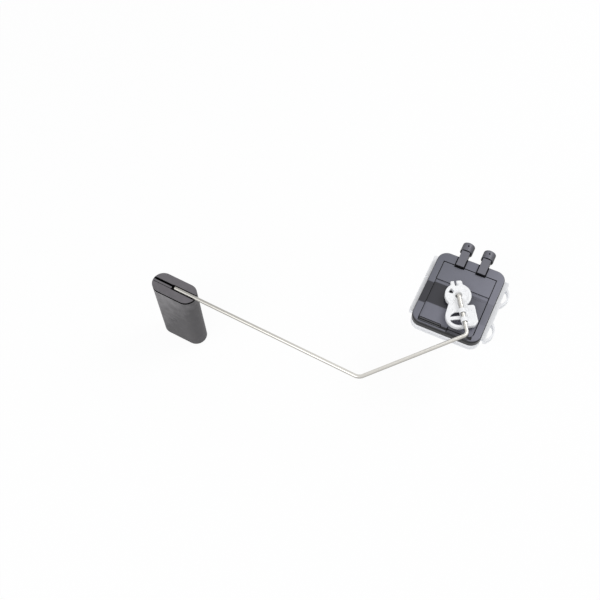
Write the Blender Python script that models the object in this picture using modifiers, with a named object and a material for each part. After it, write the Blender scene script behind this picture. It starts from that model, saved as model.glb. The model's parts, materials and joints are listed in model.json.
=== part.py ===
# Fuel level sender: a sealed housing with a float on a bent wire arm.
# The origin is on the arm's pivot axis, at the back of the housing. +Z comes out of the face,
# +Y runs towards the two terminals and the wire leaves towards -X and -Y.
import math

import bmesh
import bpy
from mathutils import Vector

MM = 0.001

# Clearances
GAP = 0.3 * MM
SWING_GAP = 0.6 * MM

# Housing outline, as seen from the front
COVER_WIDTH = 44.2 * MM
COVER_LENGTH = 54.7 * MM
COVER_CORNER = 6.5 * MM
COVER_EDGE_ROUND = 0.7 * MM
PIVOT_FROM_LEFT = 21.6 * MM
PIVOT_FROM_BOTTOM = 25.9 * MM

# Heights of the housing
FLOOR = 1.6 * MM
BASE_HEIGHT = 4.3 * MM
COVER_HEIGHT = 4.4 * MM

# Cover
SKIRT_WALL = 3.2 * MM
BORDER_LEFT = 4.8 * MM
BORDER_RIGHT = 5.0 * MM
BORDER_TOP = 7.35 * MM
BORDER_BOTTOM = 3.7 * MM
LABEL_LENGTH = 14.05 * MM
LABEL_DEPTH = 0.25 * MM
LABEL_WALL = 0.95 * MM
RECESS_DEPTH = 1.1 * MM
RECESS_WALL = 1.3 * MM
RECESS_CORNER = 2.6 * MM
RAMP_LENGTH = 3.5 * MM
STEP_DROP = 0.2 * MM
LINE_WIDTH = 0.5 * MM
LINE_DEPTH = 0.45 * MM
BAR_SLOT_LENGTH = 14.6 * MM
BAR_SLOT_WIDTH = 2.4 * MM
BAR_WIDTH = 1.2 * MM
SIDE_SLOT_DEPTH = 0.9 * MM
WIRE_POCKET_FROM_LEFT = 18.5 * MM
WIRE_POCKET_LENGTH = 13.6 * MM
WIRE_POCKET_WIDTH = 3.0 * MM
WIRE_POCKET_CORNER = 0.75 * MM

# Bearing in the cover
WIRE_RADIUS = 1.25 * MM
BUSH_WALL = 0.7 * MM
BUSH_FLANGE_RADIUS = 3.8 * MM
BUSH_FLANGE = 0.4 * MM
BUSH_LENGTH = 2.7 * MM
BOSS_WALL = 2.05 * MM
BOSS_BELOW_FACE = 0.4 * MM
BOSS_LIP = 0.4 * MM
SHAFT_SEAL_HEIGHT = 0.7 * MM

# Base
BASE_WALL = 1.8 * MM
SEAL_LEDGE = 1.4 * MM
LEDGE_BELOW_RIM = 1.3 * MM
BASE_LIP = 0.5 * MM
RAIL_REACH = 2.9 * MM
RAIL_BOTTOM = 0.8 * MM
RAIL_HEIGHT = 3.2 * MM
RAIL_START = 8.3 * MM
RAIL_END = 2.4 * MM
RAIL_NOTCH = 1.4 * MM
RAIL_NOTCH_FROM_BOTTOM = 34.1 * MM
RAIL_NOTCH_DEPTH = 1.4 * MM
LATCH_LENGTH = 14.5 * MM
LATCH_REACH = 3.2 * MM
LATCH_WALL = 1.1 * MM
LATCH_HEIGHT = 3.6 * MM
LATCH_CENTRES = (14.4 * MM, 41.2 * MM)
LATCH_CURVE = 2.2
SOCKET_WALL = 1.2 * MM
SOCKET_HEIGHT = 0.7 * MM
SOCKET_FLOOR = 1.0 * MM
BACK_POCKET_DEPTH = 0.5 * MM
BACK_POCKET_WIDTH = 10.0 * MM
BACK_POCKET_LENGTH = 30.0 * MM
BACK_POCKET_CENTRE = 13.0 * MM
BACK_POCKET_CORNER = 2.0 * MM

# Terminals
POST_SPACING = 14.0 * MM
POST_CENTRE = 0.3 * MM
STRAP_WIDTH = 5.3 * MM
STRAP_ABOVE_FACE = 1.8 * MM
STRAP_PAST_PANEL = 0.2 * MM
STRAP_CORNER = 0.35 * MM
STRAP_ROUND = 0.25 * MM
CHANNEL_SIDE = 0.7 * MM
CHANNEL_DEPTH = 0.6 * MM
CAP_RADIUS = 4.0 * MM
CAP_PROUD = 0.2 * MM
CAP_LENGTH = 6.4 * MM
CAP_FROM_COVER = 4.9 * MM
CAP_ROUND = 0.6 * MM
CAP_SOCKET_WALL = 1.4 * MM
CAP_SOCKET_DEPTH = 4.4 * MM
CAP_DIMPLE = 0.5 * MM
NECK_WALL = 2.2 * MM
PIN_RADIUS = 0.5 * MM
PIN_IN_SOCKET = 3.2 * MM
PIN_INSIDE = 4.0 * MM
PIN_SEAL_WALL = 0.6 * MM
PIN_SEAL_LENGTH = 2.6 * MM

# Swing of the arm to either side of where it is modelled
SWING_DOWN = math.radians(-58)
SWING_UP = math.radians(22)
STOP_LENGTH = 2.4 * MM
STOP_WIDTH = 1.4 * MM
STOP_DEPTH = 2.0 * MM

# Arm holder, along (U) and across (V) the wire, from the pivot
ARM_ANGLE = math.radians(-58.6)
HOLDER_THICKNESS = 3.0 * MM
HUB_RADIUS = 8.1 * MM
HUB_RIM_RISE = 0.5 * MM
HUB_RIM_WALL = 1.7 * MM
HUB_BOSS_RADIUS = 3.0 * MM
HUB_BOSS_RISE = 1.0 * MM
HUB_POCKET_WIDTH = 2.3 * MM
HUB_POCKET_HALF_ANGLE = math.radians(16)
HUB_POCKET_ANGLES = (62, 130, 298)
HUB_WINDOW_ANGLE = 228
HUB_POCKET_DEPTH = 1.6 * MM
FUNNEL_RISE = 1.5 * MM
FUNNEL_SPREAD = 1.0 * MM
PRONG_LENGTH = 2.0 * MM
PRONG_SLOT = 1.5 * MM
PRONG_SLOT_DEPTH = 3.5 * MM
PRONG_LEFT = 3.0 * MM
PRONG_RIGHT = 4.2 * MM
PRONG_HOLE = 0.45 * MM
PRONG_HOLE_U = -7.5 * MM
PRONG_HOLE_V = 1.65 * MM
LOOP_U = 14.5 * MM
LOOP_V = -2.5 * MM
LOOP_RADIUS = 7.9 * MM
LOOP_WALL = 1.75 * MM
LOOP_START = math.radians(-115)
LOOP_END = math.radians(4)
WEB_START_V = -6.4 * MM
WEB_WALL = 0.9 * MM
BAR_U = 14.4 * MM
LOOP_BAR = 2.3 * MM
CRESCENT_RADIUS = 5.9 * MM
CRESCENT_PAST_BAR = 3.2 * MM
SEAT_WALL = 1.2 * MM
PLATE_START_U = 7.7 * MM
PLATE_END_U = 21.9 * MM
PLATE_V = 8.5 * MM
PLATE_ROOT_V = 3.4 * MM
PLATE_HEEL_V = 4.3 * MM
PLATE_CORNER = 1.3 * MM
PLATE_CHAMFER = 2.3 * MM
PLATE_RIM = 1.2 * MM
FIELD_DEPTH = 0.7 * MM
PLATE_POCKET = 1.6 * MM
SEAT_DEPTH = 0.15 * MM
CLIP_STARTS = (10.6 * MM, 16.8 * MM)
CLIP_LENGTH = 3.0 * MM
CLIP_WALL = 0.65 * MM
CLIP_SHOULDER = 0.8 * MM

# Wire
BEND_HUB = 2.4 * MM
BEND_ONE = 3.4 * MM
BEND_TWO = 5.5 * MM
WIRE_FIRST_RUN = 28.2 * MM
WIRE_SECOND_RUN = 71.1 * MM
WIRE_SECOND_ANGLE = math.radians(-131.6)
WIRE_THIRD_RUN = 127.8 * MM
WIRE_THIRD_ANGLE = math.radians(-183.2)
WIRE_TIP = 0.7 * MM

# Float
FLOAT_LENGTH = 30.7 * MM
FLOAT_WIDTH = 13.8 * MM
FLOAT_HEIGHT = 56.0 * MM
FLOAT_ABOVE_WIRE = 0.6 * MM
FLOAT_EDGE = 0.25 * MM
GROOVE_BELOW_TOP = 0.35 * MM
GROOVE_HEIGHT = 0.7 * MM
GROOVE_DEPTH = 0.5 * MM
WIRE_IN_FLOAT = 15.0 * MM
SEAT_PAST_TIP = 1.7 * MM
SLOT_DEPTH = 6.5 * MM
SLOT_WIDTH = 1.5 * MM
STEP_DEPTH = 0.9 * MM

# Magnet and its carrier
CARRIER_HUB_RADIUS = 3.2 * MM
CARRIER_HUB_HEIGHT = 1.6 * MM
CARRIER_WIDTH = 5.0 * MM
CARRIER_REACH = 14.0 * MM
CARRIER_BLOCK_HEIGHT = 1.9 * MM
CARRIER_STEP = 6.4 * MM
MAGNET_LENGTH = 5.0 * MM
MAGNET_WIDTH = 3.0 * MM
MAGNET_HEIGHT = 1.2 * MM

# Card and comb under the magnet
CARD_LEFT = 12.5 * MM
CARD_RIGHT = 15.5 * MM
CARD_TOP = 3.8 * MM
CARD_BOTTOM = 17.5 * MM
CARD_THICKNESS = 0.7 * MM
TRACK_RADIUS = 8.5 * MM
TRACK_WIDTH = 1.1 * MM
TRACK_THICKNESS = 0.2 * MM
TRACK_START = math.radians(-134)
TRACK_END = math.radians(-32)
COMB_RADIUS = 12.8 * MM
COMB_SPINE = 1.3 * MM
COMB_THICKNESS = 0.15 * MM
COMB_FINGERS = 17
FINGER_SHARE = 0.7
SPACER_THICKNESS = 0.35 * MM

# Leads
LEAD_WIDTH = 1.6 * MM
LEAD_THICKNESS = 0.3 * MM
LEAD_PAD = 2.6 * MM
LEAD_ON_CARD = 0.5 * MM

# Facets
ARC_STEPS = 8
LONG_ARC_STEPS = 24
ROUND_SIDES = 32
BORE_SIDES = 24
SMALL_SIDES = 16

# Places that follow from the sizes above
COVER_LEFT = -PIVOT_FROM_LEFT
COVER_RIGHT = COVER_LEFT + COVER_WIDTH
COVER_BOTTOM = -PIVOT_FROM_BOTTOM
COVER_TOP = COVER_BOTTOM + COVER_LENGTH
COVER_MIDDLE = (COVER_LEFT + COVER_RIGHT) / 2
SKIRT_BOTTOM = BASE_HEIGHT + GAP
FACE = SKIRT_BOTTOM + COVER_HEIGHT
PANEL_LEFT = COVER_LEFT + BORDER_LEFT
PANEL_RIGHT = COVER_RIGHT - BORDER_RIGHT
PANEL_TOP = COVER_TOP - BORDER_TOP
PANEL_BOTTOM = COVER_BOTTOM + BORDER_BOTTOM
STEP_LINE = PANEL_TOP - LABEL_LENGTH
LABEL_CEILING = FACE - LABEL_DEPTH - LABEL_WALL
RECESS_FLOOR = FACE - RECESS_DEPTH
RECESS_CEILING = RECESS_FLOOR - RECESS_WALL
BORE = WIRE_RADIUS + GAP
BUSH_RADIUS = BORE + BUSH_WALL
BOSS_BORE = BUSH_RADIUS + GAP
BOSS_RADIUS = BOSS_BORE + BOSS_WALL
BOSS_TOP = FACE - BOSS_BELOW_FACE
FLANGE_BOTTOM = BOSS_TOP + GAP
FLANGE_TOP = FLANGE_BOTTOM + BUSH_FLANGE
BUSH_BOTTOM = FLANGE_BOTTOM - BUSH_LENGTH
SHAFT_SEAL_TOP = BUSH_BOTTOM - GAP
LIP_TOP = SHAFT_SEAL_TOP - SHAFT_SEAL_HEIGHT - GAP
BOSS_BOTTOM = LIP_TOP - BOSS_LIP
HOLDER_BOTTOM = FLANGE_TOP + GAP
HOLDER_TOP = HOLDER_BOTTOM + HOLDER_THICKNESS
SEAT = HOLDER_TOP - SEAT_DEPTH
WIRE_Z = SEAT + GAP + WIRE_RADIUS
FLOAT_TOP = WIRE_Z + FLOAT_ABOVE_WIRE
POST_XS = (POST_CENTRE - POST_SPACING / 2, POST_CENTRE + POST_SPACING / 2)
CAP_Z = FACE + STRAP_ABOVE_FACE + CAP_PROUD - CAP_RADIUS
CAP_START = COVER_TOP + CAP_FROM_COVER
CAP_END = CAP_START + CAP_LENGTH
SOCKET_START = CAP_END - CAP_SOCKET_DEPTH
PIN_BORE = PIN_RADIUS + GAP
CARD_Z = FLOOR + GAP
CARD_UPPER = CARD_Z + CARD_THICKNESS
FILM_Z = CARD_UPPER + GAP
COMB_Z = FILM_Z + SPACER_THICKNESS + GAP
BLOCK_Z = COMB_Z + COMB_THICKNESS + GAP
CARRIER_TOP = BOSS_BOTTOM - GAP
CARRIER_Z = CARRIER_TOP - CARRIER_HUB_HEIGHT


def clear_scene():
    for thing in list(bpy.data.objects):
        bpy.data.objects.remove(thing)


def new_collection(name):
    collection = bpy.data.collections.new(name)
    bpy.context.scene.collection.children.link(collection)
    return collection


def make_material(name, colour, roughness, metallic=0.0):
    material = bpy.data.materials.new(name)
    material.use_nodes = True
    shader = material.node_tree.nodes["Principled BSDF"]
    shader.inputs["Base Color"].default_value = (*colour, 1.0)
    shader.inputs["Roughness"].default_value = roughness
    shader.inputs["Metallic"].default_value = metallic
    material.diffuse_color = (*colour, 1.0)
    return material


def place(thing, collection):
    for owner in list(thing.users_collection):
        owner.objects.unlink(thing)
    collection.objects.link(thing)
    return thing


def shelve(cutter):
    """A cutter stays in its own collection, as a wire that isn't rendered."""
    place(cutter, CUTTERS)
    cutter.hide_render = True
    cutter.display_type = "WIRE"


def combine(body, other, operation):
    step = body.modifiers.new(other.name, "BOOLEAN")
    step.operation = operation
    step.solver = "EXACT"
    step.object = other
    shelve(other)


def cut(body, *cutters):
    for cutter in cutters:
        combine(body, cutter, "DIFFERENCE")


def join(body, *others):
    for other in others:
        combine(body, other, "UNION")


def curve_to_mesh(guide):
    """The curve's evaluated surface as a closed mesh object in the same place."""
    bpy.context.view_layer.update()
    graph = bpy.context.evaluated_depsgraph_get()
    mesh = bpy.data.meshes.new_from_object(guide.evaluated_get(graph))
    work = bmesh.new()
    work.from_mesh(mesh)
    bmesh.ops.remove_doubles(work, verts=work.verts, dist=1e-6)
    bmesh.ops.dissolve_limit(work, angle_limit=0.002, verts=work.verts, edges=work.edges)
    bmesh.ops.recalc_face_normals(work, faces=work.faces)
    work.to_mesh(mesh)
    work.free()
    name, matrix = guide.name, guide.matrix_world.copy()
    bpy.data.objects.remove(guide)
    body = bpy.data.objects.new(name, mesh)
    body.matrix_world = matrix
    PARTS.objects.link(body)
    return body


def prism(name, outline, low, high, *holes):
    """A flat outline, with any holes in it, raised from one height to another."""
    curve = bpy.data.curves.new(name, "CURVE")
    curve.dimensions = "2D"
    curve.fill_mode = "BOTH"
    curve.extrude = (high - low) / 2
    for loop in (outline, *holes):
        spline = curve.splines.new("POLY")
        spline.points.add(len(loop) - 1)
        for point, (x, y) in zip(spline.points, loop):
            point.co = (x, y, 0, 1)
        spline.use_cyclic_u = True
    guide = bpy.data.objects.new(name, curve)
    guide.location.z = (high + low) / 2
    PARTS.objects.link(guide)
    return curve_to_mesh(guide)


def lay_across(body, x=0):
    """Turns a prism whose outline is drawn in (y, z) so that its height runs along X."""
    middle = body.location.z
    body.rotation_euler = (math.radians(90), 0, math.radians(90))
    body.location = (x + middle, 0, 0)


def cylinder(name, radius, low, high, centre=(0, 0), sides=ROUND_SIDES, top_radius=None):
    """A round bar or a cone along Z."""
    bpy.ops.mesh.primitive_cone_add(
        vertices=sides, radius1=radius, radius2=radius if top_radius is None else top_radius,
        depth=high - low, location=(*centre, (high + low) / 2))
    body = bpy.context.object
    body.name = name
    return place(body, PARTS)


def bar_along_y(name, radius, start, end, x, z, sides=ROUND_SIDES):
    bpy.ops.mesh.primitive_cylinder_add(
        vertices=sides, radius=radius, depth=end - start,
        location=(x, (start + end) / 2, z), rotation=(math.radians(90), 0, 0))
    body = bpy.context.object
    body.name = name
    return place(body, PARTS)


def block(name, low, high):
    """A box between two corners."""
    bpy.ops.mesh.primitive_cube_add(size=1, location=[(a + b) / 2 for a, b in zip(low, high)])
    body = bpy.context.object
    body.name = name
    body.scale = [b - a for a, b in zip(low, high)]
    bpy.ops.object.transform_apply(location=False, rotation=False, scale=True)
    return place(body, PARTS)


def turned(name, profile):
    """A ring turned from a closed section of (radius, height) points, its outer side first, downwards."""
    mesh = bpy.data.meshes.new(name)
    edges = [(i, (i + 1) % len(profile)) for i in range(len(profile))]
    mesh.from_pydata([(radius, 0, height) for radius, height in profile], edges, [])
    body = bpy.data.objects.new(name, mesh)
    PARTS.objects.link(body)
    screw = body.modifiers.new("Turn", "SCREW")
    screw.steps = ROUND_SIDES
    screw.render_steps = ROUND_SIDES
    screw.use_merge_vertices = True
    screw.merge_threshold = 0.00001
    return body


def arc(centre, radius, start, end, steps=ARC_STEPS):
    """Points on an arc between two angles, both ends included."""
    angles = [start + (end - start) * i / steps for i in range(steps + 1)]
    return [(centre[0] + radius * math.cos(a), centre[1] + radius * math.sin(a)) for a in angles]


def circle(radius, steps=40):
    return arc((0, 0), radius, 0, 2 * math.pi, steps)[:-1]


def rounded_box(left, bottom, right, top, radius, steps=ARC_STEPS):
    """A rectangle's outline with round corners."""
    quarter = math.pi / 2
    centres = ((right - radius, top - radius), (left + radius, top - radius),
               (left + radius, bottom + radius), (right - radius, bottom + radius))
    outline = []
    for turn, centre in enumerate(centres):
        outline += arc(centre, radius, turn * quarter, (turn + 1) * quarter, steps)
    return outline


def housing_outline(inset):
    """The cover's outline, moved inwards by inset or outwards where it is negative."""
    return rounded_box(COVER_LEFT + inset, COVER_BOTTOM + inset, COVER_RIGHT - inset,
                       COVER_TOP - inset, COVER_CORNER - inset)


def sector(inner, outer, start, end, steps=ARC_STEPS):
    """A piece of a flat ring between two radii and two angles."""
    return arc((0, 0), outer, start, end, steps) + arc((0, 0), inner, end, start, steps)


def round_edges(body, width, segments, chosen):
    """Bevels the edges that the test picks."""
    work = bmesh.new()
    work.from_mesh(body.data)
    weight = work.edges.layers.float.new("bevel_weight_edge")
    for edge in work.edges:
        edge[weight] = 1.0 if chosen(edge) else 0.0
    work.to_mesh(body.data)
    work.free()
    bevel = body.modifiers.new("Rounding", "BEVEL")
    bevel.limit_method = "WEIGHT"
    bevel.width = width
    bevel.segments = segments


def level_edge(height_sign):
    """Picks the edges that lie level at the top (1) or at the bottom (-1) of a prism."""
    return lambda edge: all(v.co.z * height_sign > 0 for v in edge.verts)


def finish(body, material):
    body.data.materials.clear()
    body.data.materials.append(material)
    if body.data.polygons:
        body.data.shade_smooth()
        body.data.set_sharp_from_angle(angle=math.radians(30))
    return body


def build_cover(material):
    cover = prism("front_cover", housing_outline(0), SKIRT_BOTTOM, FACE)
    round_edges(cover, COVER_EDGE_ROUND, 3, level_edge(1))
    inside = housing_outline(SKIRT_WALL)
    cut(cover, prism("cover_inside", inside, SKIRT_BOTTOM - GAP, RECESS_CEILING))
    cut(cover, prism("label_inside", rounded_box(
        COVER_LEFT + SKIRT_WALL, STEP_LINE + RECESS_WALL, COVER_RIGHT - SKIRT_WALL,
        COVER_TOP - SKIRT_WALL, COVER_CORNER - SKIRT_WALL), SKIRT_BOTTOM - GAP, LABEL_CEILING))
    cut_panel(cover)
    cut_bottom_border(cover)
    add_bearing_boss(cover)
    cut_terminal_ways(cover)
    add_swing_stops(cover)
    return finish(cover, material)


def cut_panel(cover):
    """The label panel, the deeper recess under it and the lines round them."""
    above = FACE + GAP
    quarter = math.pi / 2
    ramp_end = STEP_LINE - RAMP_LENGTH
    recess = [(PANEL_RIGHT, ramp_end), (PANEL_LEFT, ramp_end), (PANEL_LEFT, PANEL_BOTTOM)]
    corner = (PANEL_RIGHT - RECESS_CORNER, PANEL_BOTTOM + RECESS_CORNER)
    recess += arc(corner, RECESS_CORNER, -quarter, 0)
    cut(cover, prism("recess", recess, RECESS_FLOOR, above))
    ramp = prism("recess_ramp", [(ramp_end - GAP, RECESS_FLOOR), (ramp_end, RECESS_FLOOR),
                                 (STEP_LINE, FACE - LABEL_DEPTH - STEP_DROP), (STEP_LINE, above),
                                 (ramp_end - GAP, above)], PANEL_LEFT, PANEL_RIGHT)
    lay_across(ramp)
    cut(cover, ramp)
    cut(cover, block("label_panel", (PANEL_LEFT, STEP_LINE - GAP, FACE - LABEL_DEPTH),
                     (PANEL_RIGHT, PANEL_TOP, above)))
    low = FACE - LABEL_DEPTH - LINE_DEPTH
    line = LINE_WIDTH
    cut(cover, block("label_line_top", (PANEL_LEFT - line, PANEL_TOP, low),
                     (PANEL_RIGHT + line, PANEL_TOP + line, above)))
    cut(cover, block("label_line_left", (PANEL_LEFT - line, PANEL_BOTTOM, low),
                     (PANEL_LEFT + GAP, PANEL_TOP + GAP, above)))
    cut(cover, block("label_line_right", (PANEL_RIGHT - GAP, PANEL_BOTTOM + RECESS_CORNER, low),
                     (PANEL_RIGHT + 2 * line, PANEL_TOP + GAP, above)))
    cut(cover, block("step_line", (PANEL_LEFT, STEP_LINE + GAP, low),
                     (PANEL_RIGHT, STEP_LINE + GAP + line, above)))


def cut_bottom_border(cover):
    """The slot with its bar, and the pocket that the wire passes over."""
    half = BAR_SLOT_WIDTH / 2
    middle = PANEL_BOTTOM - half + GAP
    end = PANEL_LEFT + BAR_SLOT_LENGTH
    quarter = math.pi / 2
    slot = [(PANEL_LEFT, middle + half), (PANEL_LEFT, middle - half)]
    slot += arc((end - half, middle), half, -quarter, quarter)
    bar_half = BAR_WIDTH / 2
    bar_start = PANEL_LEFT + half - bar_half
    bar = [(bar_start, middle + bar_half), (bar_start, middle - bar_half)]
    bar += arc((end - half, middle), bar_half, -quarter, quarter)
    cut(cover, prism("bar_slot", slot, FACE - SIDE_SLOT_DEPTH, FACE + GAP, bar))
    start = PANEL_LEFT + WIRE_POCKET_FROM_LEFT
    pocket = rounded_box(start, PANEL_BOTTOM - WIRE_POCKET_WIDTH + GAP, start + WIRE_POCKET_LENGTH,
                         PANEL_BOTTOM + GAP, WIRE_POCKET_CORNER)
    cut(cover, prism("wire_pocket", pocket, FACE - SIDE_SLOT_DEPTH, FACE + GAP))


def add_bearing_boss(cover):
    join(cover, cylinder("boss", BOSS_RADIUS, BOSS_BOTTOM, BOSS_TOP))
    cut(cover, cylinder("boss_bore", BOSS_BORE, LIP_TOP, BOSS_TOP + GAP))
    cut(cover, cylinder("boss_lip_bore", BORE, BOSS_BOTTOM - GAP, LIP_TOP + GAP))


def cut_terminal_ways(cover):
    """The channels that the straps lie in and the holes that the pins come in by."""
    half = STRAP_WIDTH / 2 + CHANNEL_SIDE
    for side, x in zip(("left", "right"), POST_XS):
        low = (x - half, PANEL_TOP - STRAP_PAST_PANEL - CHANNEL_SIDE, FACE - CHANNEL_DEPTH)
        cut(cover, block(f"strap_channel_{side}", low, (x + half, COVER_TOP + GAP, FACE + GAP)))
        seal_way = PIN_BORE + PIN_SEAL_WALL + GAP
        cut(cover, bar_along_y(f"pin_way_{side}", seal_way, COVER_TOP - SKIRT_WALL - GAP,
                               COVER_TOP + GAP, x, CAP_Z))


def add_swing_stops(cover):
    """Ribs under the cover's face that the magnet carrier comes to at both ends of its swing."""
    near = CARRIER_WIDTH / 2 + GAP
    for name, swing, side in (("stop_down", SWING_DOWN, -1), ("stop_up", SWING_UP, 1)):
        edges = sorted((side * near, side * (near + STOP_WIDTH)))
        stop = block(name, (CARRIER_REACH - STOP_LENGTH, edges[0], RECESS_CEILING - STOP_DEPTH),
                     (CARRIER_REACH, edges[1], RECESS_CEILING + GAP))
        hinge = bpy.data.objects.new(name + "_frame", None)
        PARTS.objects.link(hinge)
        hinge.rotation_euler.z = ARM_ANGLE + swing
        stop.parent = hinge
        join(cover, stop)


def build_base(material):
    lip = rounded_box(COVER_LEFT, COVER_BOTTOM - BASE_LIP, COVER_RIGHT, COVER_TOP, COVER_CORNER)
    base = prism("base_frame", lip, 0, FLOOR)
    join(base, prism("base_walls", housing_outline(0), FLOOR / 2, BASE_HEIGHT - LEDGE_BELOW_RIM,
                     housing_outline(BASE_WALL + SEAL_LEDGE)))
    join(base, prism("base_rim", housing_outline(0), FLOOR / 2 + GAP, BASE_HEIGHT,
                     housing_outline(BASE_WALL)))
    add_rails(base)
    for number, centre in enumerate(LATCH_CENTRES):
        add_latch(base, f"latch_{number + 1}", COVER_BOTTOM + centre)
    add_foot_socket(base)
    for side, sign in (("left", -1), ("right", 1)):
        x = COVER_MIDDLE + sign * BACK_POCKET_CENTRE
        y = (COVER_TOP + COVER_BOTTOM) / 2
        half = (BACK_POCKET_WIDTH / 2, BACK_POCKET_LENGTH / 2)
        pocket = rounded_box(x - half[0], y - half[1], x + half[0], y + half[1], BACK_POCKET_CORNER, 4)
        cut(base, prism(f"back_pocket_{side}", pocket, -GAP, BACK_POCKET_DEPTH))
    return finish(base, material)


def add_rails(base):
    """The guide rails down both sides, with a notch in the left one."""
    top = RAIL_BOTTOM + RAIL_HEIGHT
    start = COVER_BOTTOM + RAIL_START
    end = COVER_TOP - RAIL_END
    overlap = BASE_WALL / 2
    left = block("rail_left", (COVER_LEFT - RAIL_REACH, start, RAIL_BOTTOM),
                 (COVER_LEFT + overlap, end, top))
    right = block("rail_right", (COVER_RIGHT - overlap, start, RAIL_BOTTOM),
                  (COVER_RIGHT + RAIL_REACH, end, top))
    join(base, left, right)
    notch = COVER_BOTTOM + RAIL_NOTCH_FROM_BOTTOM
    outer = COVER_LEFT - RAIL_REACH
    cut(base, block("rail_notch", (outer - GAP, notch, RAIL_BOTTOM - GAP),
                    (outer + RAIL_NOTCH_DEPTH, notch + RAIL_NOTCH, top + GAP)))


def bow(centre_y, length, reach, steps=12):
    """A bowed outline that stands out from the right rail's side."""
    side = COVER_RIGHT + RAIL_REACH
    points = []
    for i in range(steps + 1):
        along = -1 + 2 * i / steps
        out = reach * (1 - abs(along) ** LATCH_CURVE)
        points.append((side + out, centre_y + along * length / 2))
    return points


def add_latch(base, name, centre_y):
    """A bowed spring latch on the right rail, with the gap that lets it give."""
    side = COVER_RIGHT + RAIL_REACH
    outer = bow(centre_y, LATCH_LENGTH, LATCH_REACH)
    root = side - RAIL_REACH / 2
    outline = [(root, outer[0][1])] + outer + [(root, outer[-1][1])]
    low = RAIL_BOTTOM / 2
    join(base, prism(name, outline, low, low + LATCH_HEIGHT))
    gap = bow(centre_y, LATCH_LENGTH - 4 * LATCH_WALL, LATCH_REACH - LATCH_WALL)
    back = side - LATCH_WALL / 2
    way = [(back, gap[0][1])] + gap + [(back, gap[-1][1])]
    cut(base, prism(name + "_gap", way, -GAP, FACE))


def add_foot_socket(base):
    """The socket in the floor that the shaft's foot turns in."""
    join(base, cylinder("socket", BORE + SOCKET_WALL, FLOOR / 2, FLOOR + SOCKET_HEIGHT))
    cut(base, cylinder("socket_bore", BORE, SOCKET_FLOOR, FLOOR + SOCKET_HEIGHT + GAP))


def build_perimeter_seal(material):
    low = BASE_HEIGHT - LEDGE_BELOW_RIM + GAP
    seal = prism("perimeter_seal", housing_outline(BASE_WALL + GAP), low, BASE_HEIGHT,
                 housing_outline(BASE_WALL + SEAL_LEDGE - GAP / 2))
    return finish(seal, material)


def build_bush(material):
    section = [(BUSH_FLANGE_RADIUS, FLANGE_TOP), (BUSH_FLANGE_RADIUS, FLANGE_BOTTOM),
               (BUSH_RADIUS, FLANGE_BOTTOM), (BUSH_RADIUS, BUSH_BOTTOM),
               (BORE, BUSH_BOTTOM), (BORE, FLANGE_TOP)]
    return finish(turned("pivot_bush", section), material)


def build_shaft_seal(material):
    half_width = (BOSS_BORE - GAP - BORE) / 2
    half_height = SHAFT_SEAL_HEIGHT / 2
    middle = (BORE + half_width, SHAFT_SEAL_TOP - half_height)
    section = [(middle[0] + half_width * math.cos(a), middle[1] + half_height * math.sin(a))
               for a in (math.radians(90 - 30 * i) for i in range(12))]
    return finish(turned("shaft_seal", section), material)


def strap_section(x):
    """The strap's outline from the front: round lower corners, straight sides to the cap."""
    half = STRAP_WIDTH / 2
    low = PANEL_TOP - STRAP_PAST_PANEL
    return rounded_box(x - half, low, x + half, CAP_START + CAP_ROUND, STRAP_CORNER, 3)


def build_post(side, x, material):
    """A strap that lies in the cover's channel, a neck behind it and a socketed cap."""
    name = f"terminal_post_{side}"
    post = prism(name, strap_section(x), FACE - CHANNEL_DEPTH + GAP, FACE + STRAP_ABOVE_FACE)
    round_edges(post, STRAP_ROUND, 2, level_edge(1))
    cap = bar_along_y(f"cap_{side}", CAP_RADIUS, CAP_START, CAP_END, x, CAP_Z)
    round_edges(cap, CAP_ROUND, 3, lambda edge: all(v.co.z < 0 for v in edge.verts))
    neck = bar_along_y(f"neck_{side}", PIN_BORE + NECK_WALL, COVER_TOP + GAP,
                       CAP_START + CAP_ROUND, x, CAP_Z)
    join(post, cap, neck)
    cut(post, bar_along_y(f"cap_socket_{side}", CAP_RADIUS - CAP_SOCKET_WALL, SOCKET_START,
                          CAP_END + GAP, x, CAP_Z))
    cut(post, bar_along_y(f"pin_bore_{side}", PIN_BORE, COVER_TOP, SOCKET_START + GAP, x, CAP_Z,
                          SMALL_SIDES))
    dimple_y = (CAP_START + CAP_END) / 2 + CAP_DIMPLE
    cap_front = CAP_Z + CAP_RADIUS
    cut(post, cylinder(f"cap_dimple_{side}", CAP_DIMPLE, cap_front - 2 * CAP_DIMPLE,
                       cap_front + GAP, (x, dimple_y), SMALL_SIDES))
    return finish(post, material)


def build_pin(side, x, material):
    inner = COVER_TOP - SKIRT_WALL - PIN_INSIDE
    pin = bar_along_y(f"terminal_pin_{side}", PIN_RADIUS, inner, SOCKET_START + PIN_IN_SOCKET,
                      x, CAP_Z, SMALL_SIDES)
    return finish(pin, material)


def build_pin_seal(side, x, material):
    middle = COVER_TOP - SKIRT_WALL / 2
    seal = bar_along_y(f"pin_seal_{side}", PIN_BORE + PIN_SEAL_WALL, middle - PIN_SEAL_LENGTH / 2,
                       middle + PIN_SEAL_LENGTH / 2, x, CAP_Z, BORE_SIDES)
    cut(seal, bar_along_y(f"seal_bore_{side}", PIN_BORE, middle - PIN_SEAL_LENGTH,
                          middle + PIN_SEAL_LENGTH, x, CAP_Z, BORE_SIDES))
    return finish(seal, material)


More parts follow.
